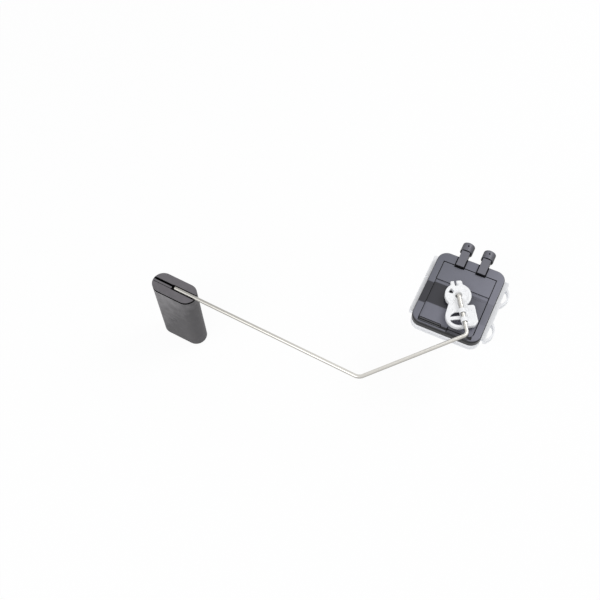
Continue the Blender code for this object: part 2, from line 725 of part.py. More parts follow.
def ribbon_outline(path, thickness):
    """The outline of a strip that follows square bends, from its middle line."""
    sides = ([], [])
    for i, (a, b) in enumerate(path):
        before = path[max(i - 1, 0)]
        after = path[min(i + 1, len(path) - 1)]
        first = math.atan2(b - before[1], a - before[0]) if i else None
        second = math.atan2(after[1] - b, after[0] - a) if i < len(path) - 1 else None
        first = second if first is None else first
        second = first if second is None else second
        turn = (second - first + math.pi) % (2 * math.pi) - math.pi
        middle = first + turn / 2
        reach = thickness / 2 / math.cos(turn / 2)
        for side, sign in zip(sides, (1, -1)):
            side.append((a - sign * reach * math.sin(middle), b + sign * reach * math.cos(middle)))
    return sides[0] + sides[1][::-1]


def build_lead(side, x, material):
    """A flat lead from under the pin, down to the floor and on to the card."""
    half = LEAD_THICKNESS / 2
    pad_z = CAP_Z - PIN_RADIUS - GAP - half
    floor_z = FLOOR + GAP + half
    card_z = CARD_UPPER + GAP + half
    riser_y = COVER_TOP - SKIRT_WALL - PIN_INSIDE - GAP
    path = [(riser_y + LEAD_PAD, pad_z), (riser_y, pad_z), (riser_y, floor_z),
            (-CARD_TOP + 2 * LEAD_THICKNESS + card_z - floor_z, floor_z),
            (-CARD_TOP + 2 * LEAD_THICKNESS, card_z), (-CARD_TOP - LEAD_ON_CARD, card_z)]
    lead = prism(f"lead_{side}", ribbon_outline(path, LEAD_THICKNESS), -LEAD_WIDTH / 2, LEAD_WIDTH / 2)
    lay_across(lead, x)
    return finish(lead, material)


def build_card(material):
    corner = CARD_THICKNESS
    outline = rounded_box(-CARD_LEFT, -CARD_BOTTOM, CARD_RIGHT, -CARD_TOP, corner, 3)
    card = prism("resistor_card", outline, CARD_Z, CARD_UPPER)
    cut(card, cylinder("card_cutout", CARRIER_STEP + SWING_GAP, 0, FACE))
    return finish(card, material)


def build_track(material):
    track = prism("resistor_track", sector(TRACK_RADIUS, TRACK_RADIUS + TRACK_WIDTH, TRACK_START,
                                           TRACK_END, LONG_ARC_STEPS), FILM_Z, FILM_Z + TRACK_THICKNESS)
    return finish(track, material)


def build_spacer(material):
    spacer = prism("comb_spacer", sector(COMB_RADIUS - COMB_SPINE, COMB_RADIUS, TRACK_START,
                                         TRACK_END, LONG_ARC_STEPS), FILM_Z, FILM_Z + SPACER_THICKNESS)
    return finish(spacer, material)


def build_comb(material):
    """A spine along the outer arc with fingers that reach in over the track."""
    spine_inner = COMB_RADIUS - COMB_SPINE
    pitch = (TRACK_END - TRACK_START) / COMB_FINGERS
    before, after = (1 - FINGER_SHARE) / 2, (1 + FINGER_SHARE) / 2
    outline = arc((0, 0), COMB_RADIUS, TRACK_START, TRACK_END, LONG_ARC_STEPS)
    for i in reversed(range(COMB_FINGERS)):
        for share, radius in ((after, spine_inner), (after, TRACK_RADIUS), (before, TRACK_RADIUS),
                              (before, spine_inner)):
            angle = TRACK_START + (i + share) * pitch
            outline.append((radius * math.cos(angle), radius * math.sin(angle)))
    comb = prism("contact_comb", outline, COMB_Z, COMB_Z + COMB_THICKNESS)
    return finish(comb, material)


def turn_with_arm(*things):
    """Parents pieces that are modelled along the wire to the arm's own frame."""
    for thing in things:
        thing.parent = ARM_FRAME


def holder_outline():
    """The holder from the front: hub, prongs, web, loop and plate, counter-clockwise."""
    prong_end = -(HUB_RADIUS + PRONG_LENGTH)
    right_root = math.pi - math.asin(PRONG_RIGHT / HUB_RADIUS)
    left_root = math.pi + math.asin(PRONG_LEFT / HUB_RADIUS)
    slot = PRONG_SLOT / 2
    slot_end = prong_end + PRONG_SLOT_DEPTH
    hub_start = math.asin(PLATE_ROOT_V / HUB_RADIUS)
    web_root = 2 * math.pi + math.asin(WEB_START_V / HUB_RADIUS)
    corner = PLATE_CORNER
    outline = arc((0, 0), HUB_RADIUS, hub_start, right_root, 14)
    outline += [(prong_end + slot, PRONG_RIGHT), (prong_end, PRONG_RIGHT - slot), (prong_end, slot),
                (slot_end, slot), (slot_end, -slot), (prong_end, -slot), (prong_end, -PRONG_LEFT)]
    outline += arc((0, 0), HUB_RADIUS, left_root, web_root, 12)
    outline += arc((LOOP_U, LOOP_V), LOOP_RADIUS, LOOP_START, LOOP_END, 16)
    outline += [(PLATE_END_U, PLATE_V - PLATE_CHAMFER), (PLATE_END_U - PLATE_CHAMFER, PLATE_V)]
    outline += arc((PLATE_START_U + corner, PLATE_V - corner), corner, math.pi / 2, math.pi, 5)
    outline.append((PLATE_START_U, PLATE_HEEL_V))
    return outline


def build_holder(material):
    rim_top = HOLDER_TOP + HUB_RIM_RISE
    holder = prism("arm_holder", holder_outline(), HOLDER_BOTTOM, HOLDER_TOP)
    rim = prism("hub_rim", circle(HUB_RADIUS), HOLDER_TOP - GAP, rim_top,
                circle(HUB_RADIUS - HUB_RIM_WALL))
    boss = cylinder("hub_boss", HUB_BOSS_RADIUS, HOLDER_TOP - GAP, HOLDER_TOP + HUB_BOSS_RISE)
    turn_with_arm(holder, rim, boss)
    join(holder, rim, boss)
    for number, start in enumerate(CLIP_STARTS):
        add_clip(holder, f"clip_{number + 1}", start)
    cut_holder_windows(holder)
    cut_holder_fields(holder)
    cut_hub_pockets(holder)
    cut_wire_way(holder)
    return finish(holder, material)


def cut_holder_windows(holder):
    """The two crescent windows in the loop, with the bar between them."""
    low, high = HOLDER_BOTTOM - GAP, HOLDER_TOP + GAP
    inner = LOOP_RADIUS - LOOP_WALL
    bar_end = BAR_U + LOOP_BAR
    edge = -SEAT_WALL
    centre = (BAR_U + CRESCENT_PAST_BAR, LOOP_V - GAP)
    spread = math.acos(CRESCENT_PAST_BAR / CRESCENT_RADIUS)
    last = math.asin((edge - centre[1]) / CRESCENT_RADIUS)
    upper = arc(centre, CRESCENT_RADIUS, math.pi + spread, math.pi - last)
    upper.append((BAR_U, edge))
    start = -math.acos((bar_end - LOOP_U) / inner)
    end = math.asin((edge - LOOP_V) / inner)
    lower = [(bar_end, edge)] + arc((LOOP_U, LOOP_V), inner, start, end, 12)
    windows = (prism("upper_window", upper, low, high), prism("lower_window", lower, low, high))
    turn_with_arm(*windows)
    cut(holder, *windows)


def cut_holder_fields(holder):
    """The shallow field in the web, the one in the plate and the small pocket there."""
    low, high = HOLDER_TOP - FIELD_DEPTH, HOLDER_TOP + GAP
    web_end = BAR_U + CRESCENT_PAST_BAR - CRESCENT_RADIUS - WEB_WALL
    web = [(HUB_BOSS_RADIUS, -HUB_BOSS_RADIUS), (web_end - LOOP_WALL, WEB_START_V),
           (web_end, WEB_START_V + LOOP_WALL), (web_end, -BORE - GAP), (HUB_BOSS_RADIUS, -BORE - GAP)]
    clip_side = BORE + CLIP_WALL
    rim = PLATE_RIM
    plate = [(PLATE_END_U - rim, PLATE_V - PLATE_CHAMFER - rim / 2),
             (PLATE_END_U - PLATE_CHAMFER - rim / 2, PLATE_V - rim),
             (PLATE_START_U + rim, PLATE_V - rim), (PLATE_START_U + rim, clip_side + rim),
             (PLATE_END_U - rim, clip_side + rim)]
    pocket_u = PLATE_START_U + 2 * rim
    pocket_v = (PLATE_V + clip_side) / 2 - PLATE_POCKET / 2
    pocket = rounded_box(pocket_u, pocket_v, pocket_u + PLATE_POCKET, pocket_v + PLATE_POCKET, GAP, 3)
    fields = (prism("web_field", web, low, high), prism("plate_field", plate, low, high),
              prism("plate_pocket", pocket, low - FIELD_DEPTH, high))
    turn_with_arm(*fields)
    cut(holder, *fields)


def cut_hub_pockets(holder):
    inner = HUB_RADIUS - HUB_RIM_WALL - HUB_POCKET_WIDTH
    outer = HUB_RADIUS - HUB_RIM_WALL
    top = HOLDER_TOP + HUB_RIM_RISE + GAP
    lows = {angle: HOLDER_TOP - HUB_POCKET_DEPTH for angle in HUB_POCKET_ANGLES}
    lows[HUB_WINDOW_ANGLE] = HOLDER_BOTTOM - GAP
    for angle, low in lows.items():
        middle = math.radians(angle)
        shape = sector(inner, outer, middle - HUB_POCKET_HALF_ANGLE, middle + HUB_POCKET_HALF_ANGLE, 4)
        pocket = prism(f"hub_pocket_{angle}", shape, low, top)
        turn_with_arm(pocket)
        cut(holder, pocket)
    hole = cylinder("prong_hole", PRONG_HOLE, HOLDER_TOP - FIELD_DEPTH, top,
                    (PRONG_HOLE_U, PRONG_HOLE_V), SMALL_SIDES)
    turn_with_arm(hole)
    cut(holder, hole)


def add_clip(holder, name, start):
    """An arch over the wire."""
    side = BORE + CLIP_WALL
    crown = WIRE_Z + side
    shoulder = CLIP_SHOULDER
    section = [(side, HOLDER_TOP - GAP), (side, crown - shoulder), (side - shoulder, crown),
               (shoulder - side, crown), (-side, crown - shoulder), (-side, HOLDER_TOP - GAP)]
    arch = prism(name, section, start, start + CLIP_LENGTH)
    lay_across(arch)
    turn_with_arm(arch)
    join(holder, arch)


def cut_wire_way(holder):
    """The shaft's bore with its funnel, and the round way that the wire lies in."""
    bore = cylinder("hub_bore", BORE, HOLDER_BOTTOM - GAP, WIRE_Z, sides=BORE_SIDES)
    funnel = cylinder("hub_funnel", BORE, HOLDER_TOP - FUNNEL_RISE, HOLDER_TOP + HUB_BOSS_RISE + GAP,
                      sides=BORE_SIDES, top_radius=BORE + FUNNEL_SPREAD)
    length = PLATE_END_U + 2 * WIRE_RADIUS
    bpy.ops.mesh.primitive_cylinder_add(vertices=BORE_SIDES, radius=BORE, depth=length,
                                        location=(length / 2, 0, WIRE_Z),
                                        rotation=(0, math.radians(90), 0))
    way = place(bpy.context.object, PARTS)
    way.name = "wire_way"
    room = block("wire_room", (0, -BORE, WIRE_Z), (HUB_RADIUS + GAP, BORE, WIRE_Z + HUB_RADIUS))
    turn_with_arm(bore, funnel, way, room)
    cut(holder, bore, funnel, way, room)


def bend_points(corner, before, after, radius, steps=7):
    """Points on the round bend at a corner of the wire's route, between two directions."""
    turn = before.angle(after)
    back = radius * math.tan(turn / 2)
    start = corner - before * back
    inward = (after - before * before.dot(after)).normalized()
    centre = start + inward * radius
    points = []
    for i in range(steps + 1):
        angle = turn * i / steps
        points.append(centre - inward * (radius * math.cos(angle)) + before * (radius * math.sin(angle)))
    return points


def wire_route():
    """The wire's middle line, from the shaft's foot to the tip in the float."""
    down = Vector((0, 0, 1))
    first, second, third = (Vector((math.cos(a), math.sin(a), 0))
                            for a in (ARM_ANGLE, WIRE_SECOND_ANGLE, WIRE_THIRD_ANGLE))
    top = Vector((0, 0, WIRE_Z))
    corner_one = top + first * WIRE_FIRST_RUN
    corner_two = corner_one + second * WIRE_SECOND_RUN
    tip = corner_two + third * WIRE_THIRD_RUN
    points = [Vector((0, 0, SOCKET_FLOOR + GAP))]
    points += bend_points(top, down, first, BEND_HUB)
    points += bend_points(corner_one, first, second, BEND_ONE)
    points += bend_points(corner_two, second, third, BEND_TWO)
    points.append(tip)
    return points, third


def build_wire(material):
    points, _ = wire_route()
    curve = bpy.data.curves.new("float_arm", "CURVE")
    curve.dimensions = "3D"
    curve.bevel_depth = WIRE_RADIUS
    curve.bevel_resolution = 6
    curve.use_fill_caps = True
    spline = curve.splines.new("POLY")
    spline.points.add(len(points) - 1)
    for point, place_at in zip(spline.points, points):
        point.co = (*place_at, 1)
    guide = bpy.data.objects.new("float_arm", curve)
    PARTS.objects.link(guide)
    wire = curve_to_mesh(guide)
    tip = points[-1]
    round_edges(wire, WIRE_TIP, 3, lambda edge: all((v.co - tip).length < 1.01 * WIRE_RADIUS
                                                    for v in edge.verts))
    return finish(wire, material)


def float_outline(inset):
    """The float from above, straight between two half rounds, moved inwards by inset."""
    end = (FLOAT_LENGTH - FLOAT_WIDTH) / 2
    radius = FLOAT_WIDTH / 2 - inset
    half = math.pi / 2
    return arc((end, 0), radius, -half, half, 16) + arc((-end, 0), radius, half, 3 * half, 16)


def build_float(material):
    """A foam block with round ends, a slot along its top and the wire's seat in it."""
    points, direction = wire_route()
    body = prism("float", float_outline(0), FLOAT_TOP - FLOAT_HEIGHT, FLOAT_TOP)
    round_edges(body, FLOAT_EDGE, 1, lambda edge: level_edge(1)(edge) or level_edge(-1)(edge))
    groove_top = FLOAT_TOP - GROOVE_BELOW_TOP
    groove = prism("top_groove", float_outline(-GAP), groove_top - GROOVE_HEIGHT, groove_top,
                   float_outline(GROOVE_DEPTH))
    seat_start = FLOAT_LENGTH / 2 - WIRE_IN_FLOAT - SEAT_PAST_TIP
    past = FLOAT_LENGTH / 2 + GAP
    side = BORE
    seat = block("wire_seat", (seat_start, -side, WIRE_Z - BORE), (past, side, FLOAT_TOP + GAP))
    slot = block("deep_slot", (-past, side - SLOT_WIDTH, FLOAT_TOP - SLOT_DEPTH),
                 (seat_start + GAP, side, FLOAT_TOP + GAP))
    step = block("slot_step", (-past, -side + GAP, FLOAT_TOP - STEP_DEPTH),
                 (seat_start + GAP, side - SLOT_WIDTH + GAP, FLOAT_TOP + GAP))
    centre = points[-1] + direction * (FLOAT_LENGTH / 2 - WIRE_IN_FLOAT)
    frame = bpy.data.objects.new("float_frame", None)
    PARTS.objects.link(frame)
    frame.location = (centre.x, centre.y, 0)
    frame.rotation_euler.z = math.atan2(-direction.y, -direction.x)
    for thing in (body, groove, seat, slot, step):
        thing.parent = frame
    cut(body, groove, seat, slot, step)
    return finish(body, material)


def build_carrier(material):
    """The arm on the shaft's inner end, stepped up over the card, with the magnet's pocket."""
    half = CARRIER_WIDTH / 2
    root = math.asin(half / CARRIER_HUB_RADIUS)
    inner = [(CARRIER_STEP, -half), (CARRIER_STEP, half)]
    inner += arc((0, 0), CARRIER_HUB_RADIUS, root, 2 * math.pi - root, 20)
    carrier = prism("magnet_carrier", inner, CARRIER_Z, CARRIER_TOP)
    start = BOSS_RADIUS + SWING_GAP
    outer = rounded_box(start, -half, CARRIER_REACH, half, half / 3, 3)
    outer_block = prism("carrier_block", outer, BLOCK_Z, BLOCK_Z + CARRIER_BLOCK_HEIGHT)
    magnet_end = CARRIER_REACH - SWING_GAP
    pocket = block("magnet_pocket", (magnet_end - MAGNET_LENGTH - 2 * GAP, -MAGNET_WIDTH / 2 - GAP, 0),
                   (magnet_end, MAGNET_WIDTH / 2 + GAP, BLOCK_Z + MAGNET_HEIGHT + GAP))
    bore = cylinder("carrier_bore", BORE, 0, FACE)
    riser = block("carrier_riser", (start, -half, CARRIER_Z), (CARRIER_STEP, half, BLOCK_Z + GAP))
    turn_with_arm(carrier, outer_block, riser, pocket, bore)
    join(carrier, riser, outer_block)
    cut(carrier, pocket, bore)
    return finish(carrier, material)


def build_magnet(material):
    end = CARRIER_REACH - SWING_GAP - GAP
    magnet = block("sensing_magnet", (end - MAGNET_LENGTH, -MAGNET_WIDTH / 2, BLOCK_Z),
                   (end, MAGNET_WIDTH / 2, BLOCK_Z + MAGNET_HEIGHT))
    turn_with_arm(magnet)
    return finish(magnet, material)


clear_scene()
PARTS = new_collection("fuel_level_sender")
CUTTERS = new_collection("cutters")
ARM_FRAME = bpy.data.objects.new("arm_frame", None)
PARTS.objects.link(ARM_FRAME)
ARM_FRAME.rotation_euler.z = ARM_ANGLE

charcoal = make_material("charcoal_plastic", (0.085, 0.085, 0.1), 0.35)
black = make_material("black_plastic", (0.04, 0.04, 0.043), 0.45)
white = make_material("white_plastic", (0.86, 0.87, 0.9), 0.45)
steel = make_material("bright_steel", (0.72, 0.7, 0.65), 0.25, 1.0)
foam = make_material("charcoal_foam", (0.13, 0.125, 0.135), 0.8)
rubber = make_material("seal_rubber", (0.02, 0.02, 0.02), 0.7)
brass = make_material("brass", (0.75, 0.55, 0.25), 0.3, 1.0)
ceramic = make_material("card_ceramic", (0.85, 0.84, 0.8), 0.6)
film = make_material("resistor_film", (0.03, 0.03, 0.03), 0.5)
amber = make_material("spacer_film", (0.65, 0.38, 0.08), 0.4)
iron = make_material("soft_iron", (0.5, 0.49, 0.47), 0.35, 1.0)
magnet_grey = make_material("magnet_grey", (0.2, 0.2, 0.21), 0.4, 0.8)

build_cover(charcoal)
build_base(white)
build_perimeter_seal(rubber)
build_bush(brass)
build_shaft_seal(rubber)
for side_name, post_x in zip(("left", "right"), POST_XS):
    build_post(side_name, post_x, black)
    build_pin(side_name, post_x, brass)
    build_pin_seal(side_name, post_x, rubber)
    build_lead(side_name, post_x, brass)
build_card(ceramic)
build_track(film)
build_spacer(amber)
build_comb(iron)
build_holder(white)
build_wire(steel)
build_float(foam)
build_carrier(black)
build_magnet(magnet_grey)
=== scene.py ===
# Looks of the fuel level sender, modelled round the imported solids.
# Pieces are shaped in millimetres in the row frame and brought to metres when they are finished.
import json
import math

import bmesh
import bpy
from mathutils import Matrix, Vector

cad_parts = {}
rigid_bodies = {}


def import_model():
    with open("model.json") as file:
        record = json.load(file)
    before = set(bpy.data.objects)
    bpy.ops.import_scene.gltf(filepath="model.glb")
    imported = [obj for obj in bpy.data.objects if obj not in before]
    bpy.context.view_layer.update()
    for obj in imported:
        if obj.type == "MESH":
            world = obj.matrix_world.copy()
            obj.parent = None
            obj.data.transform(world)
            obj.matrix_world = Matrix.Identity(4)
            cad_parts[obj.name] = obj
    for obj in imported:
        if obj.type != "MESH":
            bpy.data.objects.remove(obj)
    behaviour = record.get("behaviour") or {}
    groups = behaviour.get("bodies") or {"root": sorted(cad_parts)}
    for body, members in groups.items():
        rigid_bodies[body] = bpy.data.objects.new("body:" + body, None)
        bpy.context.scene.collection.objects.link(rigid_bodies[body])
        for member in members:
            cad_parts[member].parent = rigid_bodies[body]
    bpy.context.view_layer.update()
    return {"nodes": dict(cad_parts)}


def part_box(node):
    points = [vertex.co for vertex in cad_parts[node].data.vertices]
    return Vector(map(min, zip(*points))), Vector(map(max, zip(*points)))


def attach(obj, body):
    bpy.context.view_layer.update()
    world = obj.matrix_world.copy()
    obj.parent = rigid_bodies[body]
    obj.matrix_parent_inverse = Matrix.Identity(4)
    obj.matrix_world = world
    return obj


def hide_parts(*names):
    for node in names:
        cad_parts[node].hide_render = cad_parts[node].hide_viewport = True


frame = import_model()
nodes = frame["nodes"]
mm = 0.001
print("frame loaded:", len(nodes), "nodes")


# Modelling helpers

close = 0.01  # corners this near a line lie on it
past = 1.0  # how far a cutter goes past the face that it opens
lap = 0.1  # how far neighbours run into each other
tallEdge = 0.5  # the least height of an upright edge
flatAngle, softAngle, smoothAngle = 0.5, 40, 38  # degrees, past which edges stay, get rounds and shade sharp


def deselectAll():
    for thing in bpy.context.view_layer.objects:
        thing.select_set(False)


def pick(thing):  # the only selected and active object
    deselectAll()
    thing.select_set(True)
    bpy.context.view_layer.objects.active = thing


def applyPlace():
    bpy.ops.object.transform_apply(location=True, rotation=True, scale=True)


def editMode():
    bpy.ops.object.mode_set(mode="EDIT")


def objectMode():
    bpy.ops.object.mode_set(mode="OBJECT")


def selectAll():
    bpy.ops.mesh.select_all(action="SELECT")


def turnOutward():  # then leaves edit mode
    selectAll()
    bpy.ops.mesh.normals_make_consistent(inside=False)
    objectMode()


def addBlock(name, low, high):
    deselectAll()
    bpy.ops.mesh.primitive_cube_add(size=1, location=[(a + b) / 2 for a, b in zip(low, high)])
    block = bpy.context.object
    block.name = name
    block.scale = [b - a for a, b in zip(low, high)]
    applyPlace()
    return block


def addRod(name, radius, start, end, sides=64, endRadius=None):  # a round bar or a cone between two points
    deselectAll()
    start, end = Vector(start), Vector(end)
    run = end - start
    bpy.ops.mesh.primitive_cone_add(vertices=sides, radius1=radius,
                                    radius2=radius if endRadius is None else endRadius,
                                    depth=run.length, location=(start + end) / 2,
                                    rotation=run.to_track_quat("Z", "Y").to_euler())
    rod = bpy.context.object
    rod.name = name
    applyPlace()
    return rod


def addPrism(name, outline, low, high):  # an outline in x and y, raised from low to high
    deselectAll()
    bpy.ops.mesh.primitive_circle_add(vertices=len(outline), radius=1, fill_type="NGON", location=(0, 0, 0))
    body = bpy.context.object
    body.name = name
    for corner, (x, y) in zip(body.data.vertices, outline):
        corner.co = (x, y, low)
    editMode()
    selectAll()
    bpy.ops.mesh.extrude_region_move(TRANSFORM_OT_translate={"value": (0, 0, high - low)})
    turnOutward()
    return body


def selectEdges(body, chosen):  # leaves the body in edit mode with the chosen edges selected
    pick(body)
    editMode()
    bpy.ops.mesh.select_mode(type="EDGE")
    bpy.ops.mesh.select_all(action="DESELECT")
    shape = bmesh.from_edit_mesh(body.data)
    for edge in shape.edges:
        if chosen(edge):
            edge.select_set(True)
    shape.select_flush_mode()
    bmesh.update_edit_mesh(body.data)


def bevelEdges(body, width, chosen, segments=4):
    selectEdges(body, chosen)
    bpy.ops.mesh.bevel(offset=width, segments=segments, profile=0.5, affect="EDGES", clamp_overlap=False)
    objectMode()


def moveEdge(body, step, chosen):
    selectEdges(body, chosen)
    bpy.ops.transform.translate(value=step)
    objectMode()


def upright(edge):
    a, b = (v.co for v in edge.verts)
    return abs(a.z - b.z) > tallEdge and (a.xy - b.xy).length < close


def levelAt(place, axis=2):  # edges that lie at one height, or at one place along another axis
    return lambda edge: all(abs(v.co[axis] - place) < close for v in edge.verts)


def applyModifier(body, kind, **values):
    pick(body)
    step = body.modifiers.new(kind.lower(), kind)
    for name, value in values.items():
        setattr(step, name, value)
    bpy.ops.object.modifier_apply(modifier=step.name)


def combine(body, other, operation):  # what a cutter with a material leaves has that material
    applyModifier(body, "BOOLEAN", operation=operation, solver="EXACT", object=other,
                  material_mode="TRANSFER")
    bpy.data.objects.remove(other)


def cut(body, *cutters, material=None):
    for cutter in cutters:
        if material:
            cutter.data.materials.clear()
            cutter.data.materials.append(material)
            cutter.data.polygons.foreach_set("material_index", [0] * len(cutter.data.polygons))
        combine(body, cutter, "DIFFERENCE")


def join(body, *others):
    for other in others:
        combine(body, other, "UNION")


def soften(body, width):  # small rounds on the edges that a mould leaves
    pick(body)
    editMode()
    selectAll()
    bpy.ops.mesh.remove_doubles(threshold=close)
    bpy.ops.mesh.dissolve_degenerate(threshold=close)
    bpy.ops.mesh.dissolve_limited(angle_limit=math.radians(flatAngle))
    objectMode()
    applyModifier(body, "BEVEL", limit_method="ANGLE", angle_limit=math.radians(softAngle), width=width,
                  segments=2, use_clamp_overlap=False, miter_outer="MITER_ARC")


def melt(body, grain, passes):  # one moulded skin, with each edge a little round
    applyModifier(body, "REMESH", mode="VOXEL", voxel_size=grain)
    applyModifier(body, "SMOOTH", factor=0.5, iterations=passes)


def finishPiece(body, name, material, owner, replaced, turn=0.0, shift=(0, 0)):
    body.rotation_euler.z = turn
    body.scale = (mm, mm, mm)
    body.location = (shift[0] * mm, shift[1] * mm, 0)
    pick(body)
    applyPlace()
    bpy.ops.object.shade_smooth_by_angle(angle=math.radians(smoothAngle))
    applyModifier(body, "WEIGHTED_NORMAL", keep_sharp=True)  # large faces keep their own direction
    body.name = name
    body.data.name = name
    if not any(body.data.materials):
        body.data.materials.clear()
        body.data.materials.append(material)
    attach(body, owner)
    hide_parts(*replaced)
    print("piece made:", name, len(body.data.polygons), "faces")


def arcPoints(centre, radius, start, end, steps=12):  # angles in degrees
    turns = [math.radians(start + (end - start) * i / steps) for i in range(steps + 1)]
    return [(centre[0] + radius * math.cos(a), centre[1] + radius * math.sin(a)) for a in turns]


def roundedOutline(left, bottom, right, top, radius, steps=12):
    outline = []
    for quarter, (x, y) in enumerate(((right - radius, top - radius), (left + radius, top - radius),
                                      (left + radius, bottom + radius), (right - radius, bottom + radius))):
        outline += arcPoints((x, y), radius, 90 * quarter, 90 * quarter + 90, steps)
    return outline


# Materials

def feed(tree, node, feeds):  # each socket takes a fixed value or what another node puts out
    for name, value in feeds.items():
        if isinstance(value, bpy.types.NodeSocket):
            tree.links.new(value, node.inputs[name])
        else:
            node.inputs[name].default_value = value


def addNode(tree, kind, place, feeds={}, **values):
    node = tree.nodes.new(kind if kind.startswith("NodeGroup") else "ShaderNode" + kind)
    node.location = place
    for name, value in values.items():
        setattr(node, name, value)
    feed(tree, node, feeds)
    return node


def addMath(tree, operation, place, *terms, **values):
    return addNode(tree, "Math", place, dict(enumerate(terms)), operation=operation, **values).outputs[0]


def addRamp(tree, source, start, end, place):  # 0 up to start, 1 from end on, in millimetres
    feeds = {"Value": source, "From Min": start * mm, "From Max": end * mm}
    return addNode(tree, "MapRange", place, feeds).outputs["Result"]


def addTone(tree, factor, low, high, place, **values):  # low and high are colours or what nodes put out
    low, high = ((*colour, 1) if isinstance(colour, tuple) else colour for colour in (low, high))
    return addNode(tree, "Mix", place, {"A": low, "B": high, "Factor": factor}, data_type="RGBA",
                   **values).outputs["Result"]


def addPlace(tree):  # where a point is on its piece, whole and as x, y and z
    spot = addNode(tree, "TexCoord", (-1500, 500)).outputs["Object"]
    return spot, addNode(tree, "SeparateXYZ", (-1300, 500), {0: spot}).outputs


def makeGroup(name, numbers, results):
    group = bpy.data.node_groups.new(name, "ShaderNodeTree")
    for label, default in numbers.items():
        socket = group.interface.new_socket(name=label, in_out="INPUT", socket_type="NodeSocketFloat")
        socket.default_value = default
    for label in results:
        group.interface.new_socket(name=label, in_out="OUTPUT", socket_type="NodeSocketFloat")
    entry = addNode(group, "NodeGroupInput", (-900, 0)).outputs
    return group, entry, addNode(group, "NodeGroupOutput", (300, 0))


def makeGrainGroup():  # fine grain, slow flow marks and a gloss change, as moulded plastic has
    numbers = {"Grain Size": 0.25, "Flow Size": 6.0, "Grain Share": 0.5}
    group, entry, leave = makeGroup("mouldedGrain", numbers, ("Height", "Tone", "Gloss"))
    spot = addNode(group, "TexCoord", (-900, 300)).outputs["Object"]
    noises = []
    for row, (size, detail, twist) in enumerate((("Grain Size", 3.0, 0.0), ("Flow Size", 2.0, 0.6))):
        scale = addMath(group, "DIVIDE", (-650, 200 - 300 * row), 1 / mm, entry[size])
        feeds = {"Vector": spot, "Scale": scale, "Detail": detail, "Distortion": twist}
        noises.append(addNode(group, "TexNoise", (-400, 200 - 300 * row), feeds).outputs["Fac"])
    grain, flow = noises
    feeds = {"Factor": entry["Grain Share"], "A": flow, "B": grain}
    both = addNode(group, "Mix", (-100, 200), feeds).outputs["Result"]
    feed(group, leave, {"Height": both, "Tone": flow, "Gloss": both})
    return group


def makeUpGroup():  # a mask that is 1 on faces that look up and 0 on faces past the side limit
    group, entry, leave = makeGroup("facingUp", {"Side": 0.35, "Top": 0.75}, ("Share",))
    facing = addNode(group, "TexCoord", (-600, 200)).outputs["Normal"]
    split = addNode(group, "SeparateXYZ", (-400, 200), {0: facing}).outputs
    feeds = {"Value": split["Z"], "From Min": entry["Side"], "From Max": entry["Top"]}
    feed(group, leave, {"Share": addNode(group, "MapRange", (0, 0), feeds).outputs["Result"]})
    return group


grainGroup = makeGrainGroup()
upGroup = makeUpGroup()
noiseSpan = (0.3, 0.7)  # nearly all noise lies between these


def addPaintedFacingTone(tree, colour, side):  # painted light and shade by facing: faces that turn from straight up take the side tone; side: that tone and its two limits
    tone, low, high = side
    up = addNode(tree, "Group", (-450, 500), {"Side": low, "Top": high}, node_tree=upGroup)
    return addTone(tree, up.outputs["Share"], tone, colour, (-200, 450))


def makeMaterial(name, low, high, rough=(0.4, 0.5), metallic=0.0, grain=(0.25, 6.0, 0.5), bump=0.1,
                 depth=0.02, side=None, refraction=1.5, specular=0.5):  # low and high are tones; depth in mm; side paints light or shade by facing
    material = bpy.data.materials.new(name)
    material.use_nodes = True
    tree = material.node_tree
    sizes = dict(zip(("Grain Size", "Flow Size", "Grain Share"), grain))
    marks = addNode(tree, "Group", (-900, 0), sizes, node_tree=grainGroup).outputs
    colour = addTone(tree, marks["Tone"], low, high, (-450, 200), name="tone")
    gloss = addNode(tree, "MapRange", (-450, -50), {
        "Value": marks["Gloss"], "From Min": noiseSpan[0], "From Max": noiseSpan[1], "To Min": rough[0],
        "To Max": rough[1]}, name="gloss").outputs["Result"]
    feeds = {"Strength": bump, "Distance": depth * mm, "Height": marks["Height"]}
    relief = addNode(tree, "Bump", (-250, -300), feeds, name="relief").outputs["Normal"]
    if side:
        colour = addPaintedFacingTone(tree, colour, side)
    feed(tree, tree.nodes["Principled BSDF"], {
        "Metallic": metallic, "IOR": refraction, "Specular IOR Level": specular, "Base Color": colour,
        "Roughness": gloss, "Normal": relief})
    return material


cover = dict(low=4.6, high=9.0, corner=6.5, cornerSteps=14, edgeRound=0.75, lowEdgeRound=1.9, edgeSteps=8,
             wall=3.2, ceiling=6.6, labelCeiling=7.8, labelBack=2.0, ceilingWall=1.3, left=4.8, right=5.0,
             top=7.35, bottom=3.7, labelLength=14.05, labelDepth=0.25, floorDepth=1.1, ramp=3.5, step=0.2,
             recessCorner=2.6, line=0.45, lineDepth=0.55, recessLine=0.5, leftLine=0.4, recessLineDepth=1.5,
             overlap=0.05, borderDepth=0.06, slotLength=14.8, slotMiddle=0.25, slotWidth=3.2, slotLine=0.35,
             slotDepth=1.6, pocketStart=18.5, pocketLength=13.6, pocketWidth=4.3, pocketRise=1.6,
             pocketDepth=1.25, pocketLine=0.35, pocketLineDepth=1.7, bossRadius=4.6, bossBore=2.55, bossLow=4.5,
             bossHigh=8.6, lipTop=4.9, lipBore=1.55, channelStart=0.9, channelDepth=0.6, channelRoom=0.7,
             trench=1.0, trenchDepth=1.0, pinWay=1.7, pinHeight=7.0, clear=0.5, soft=0.03)
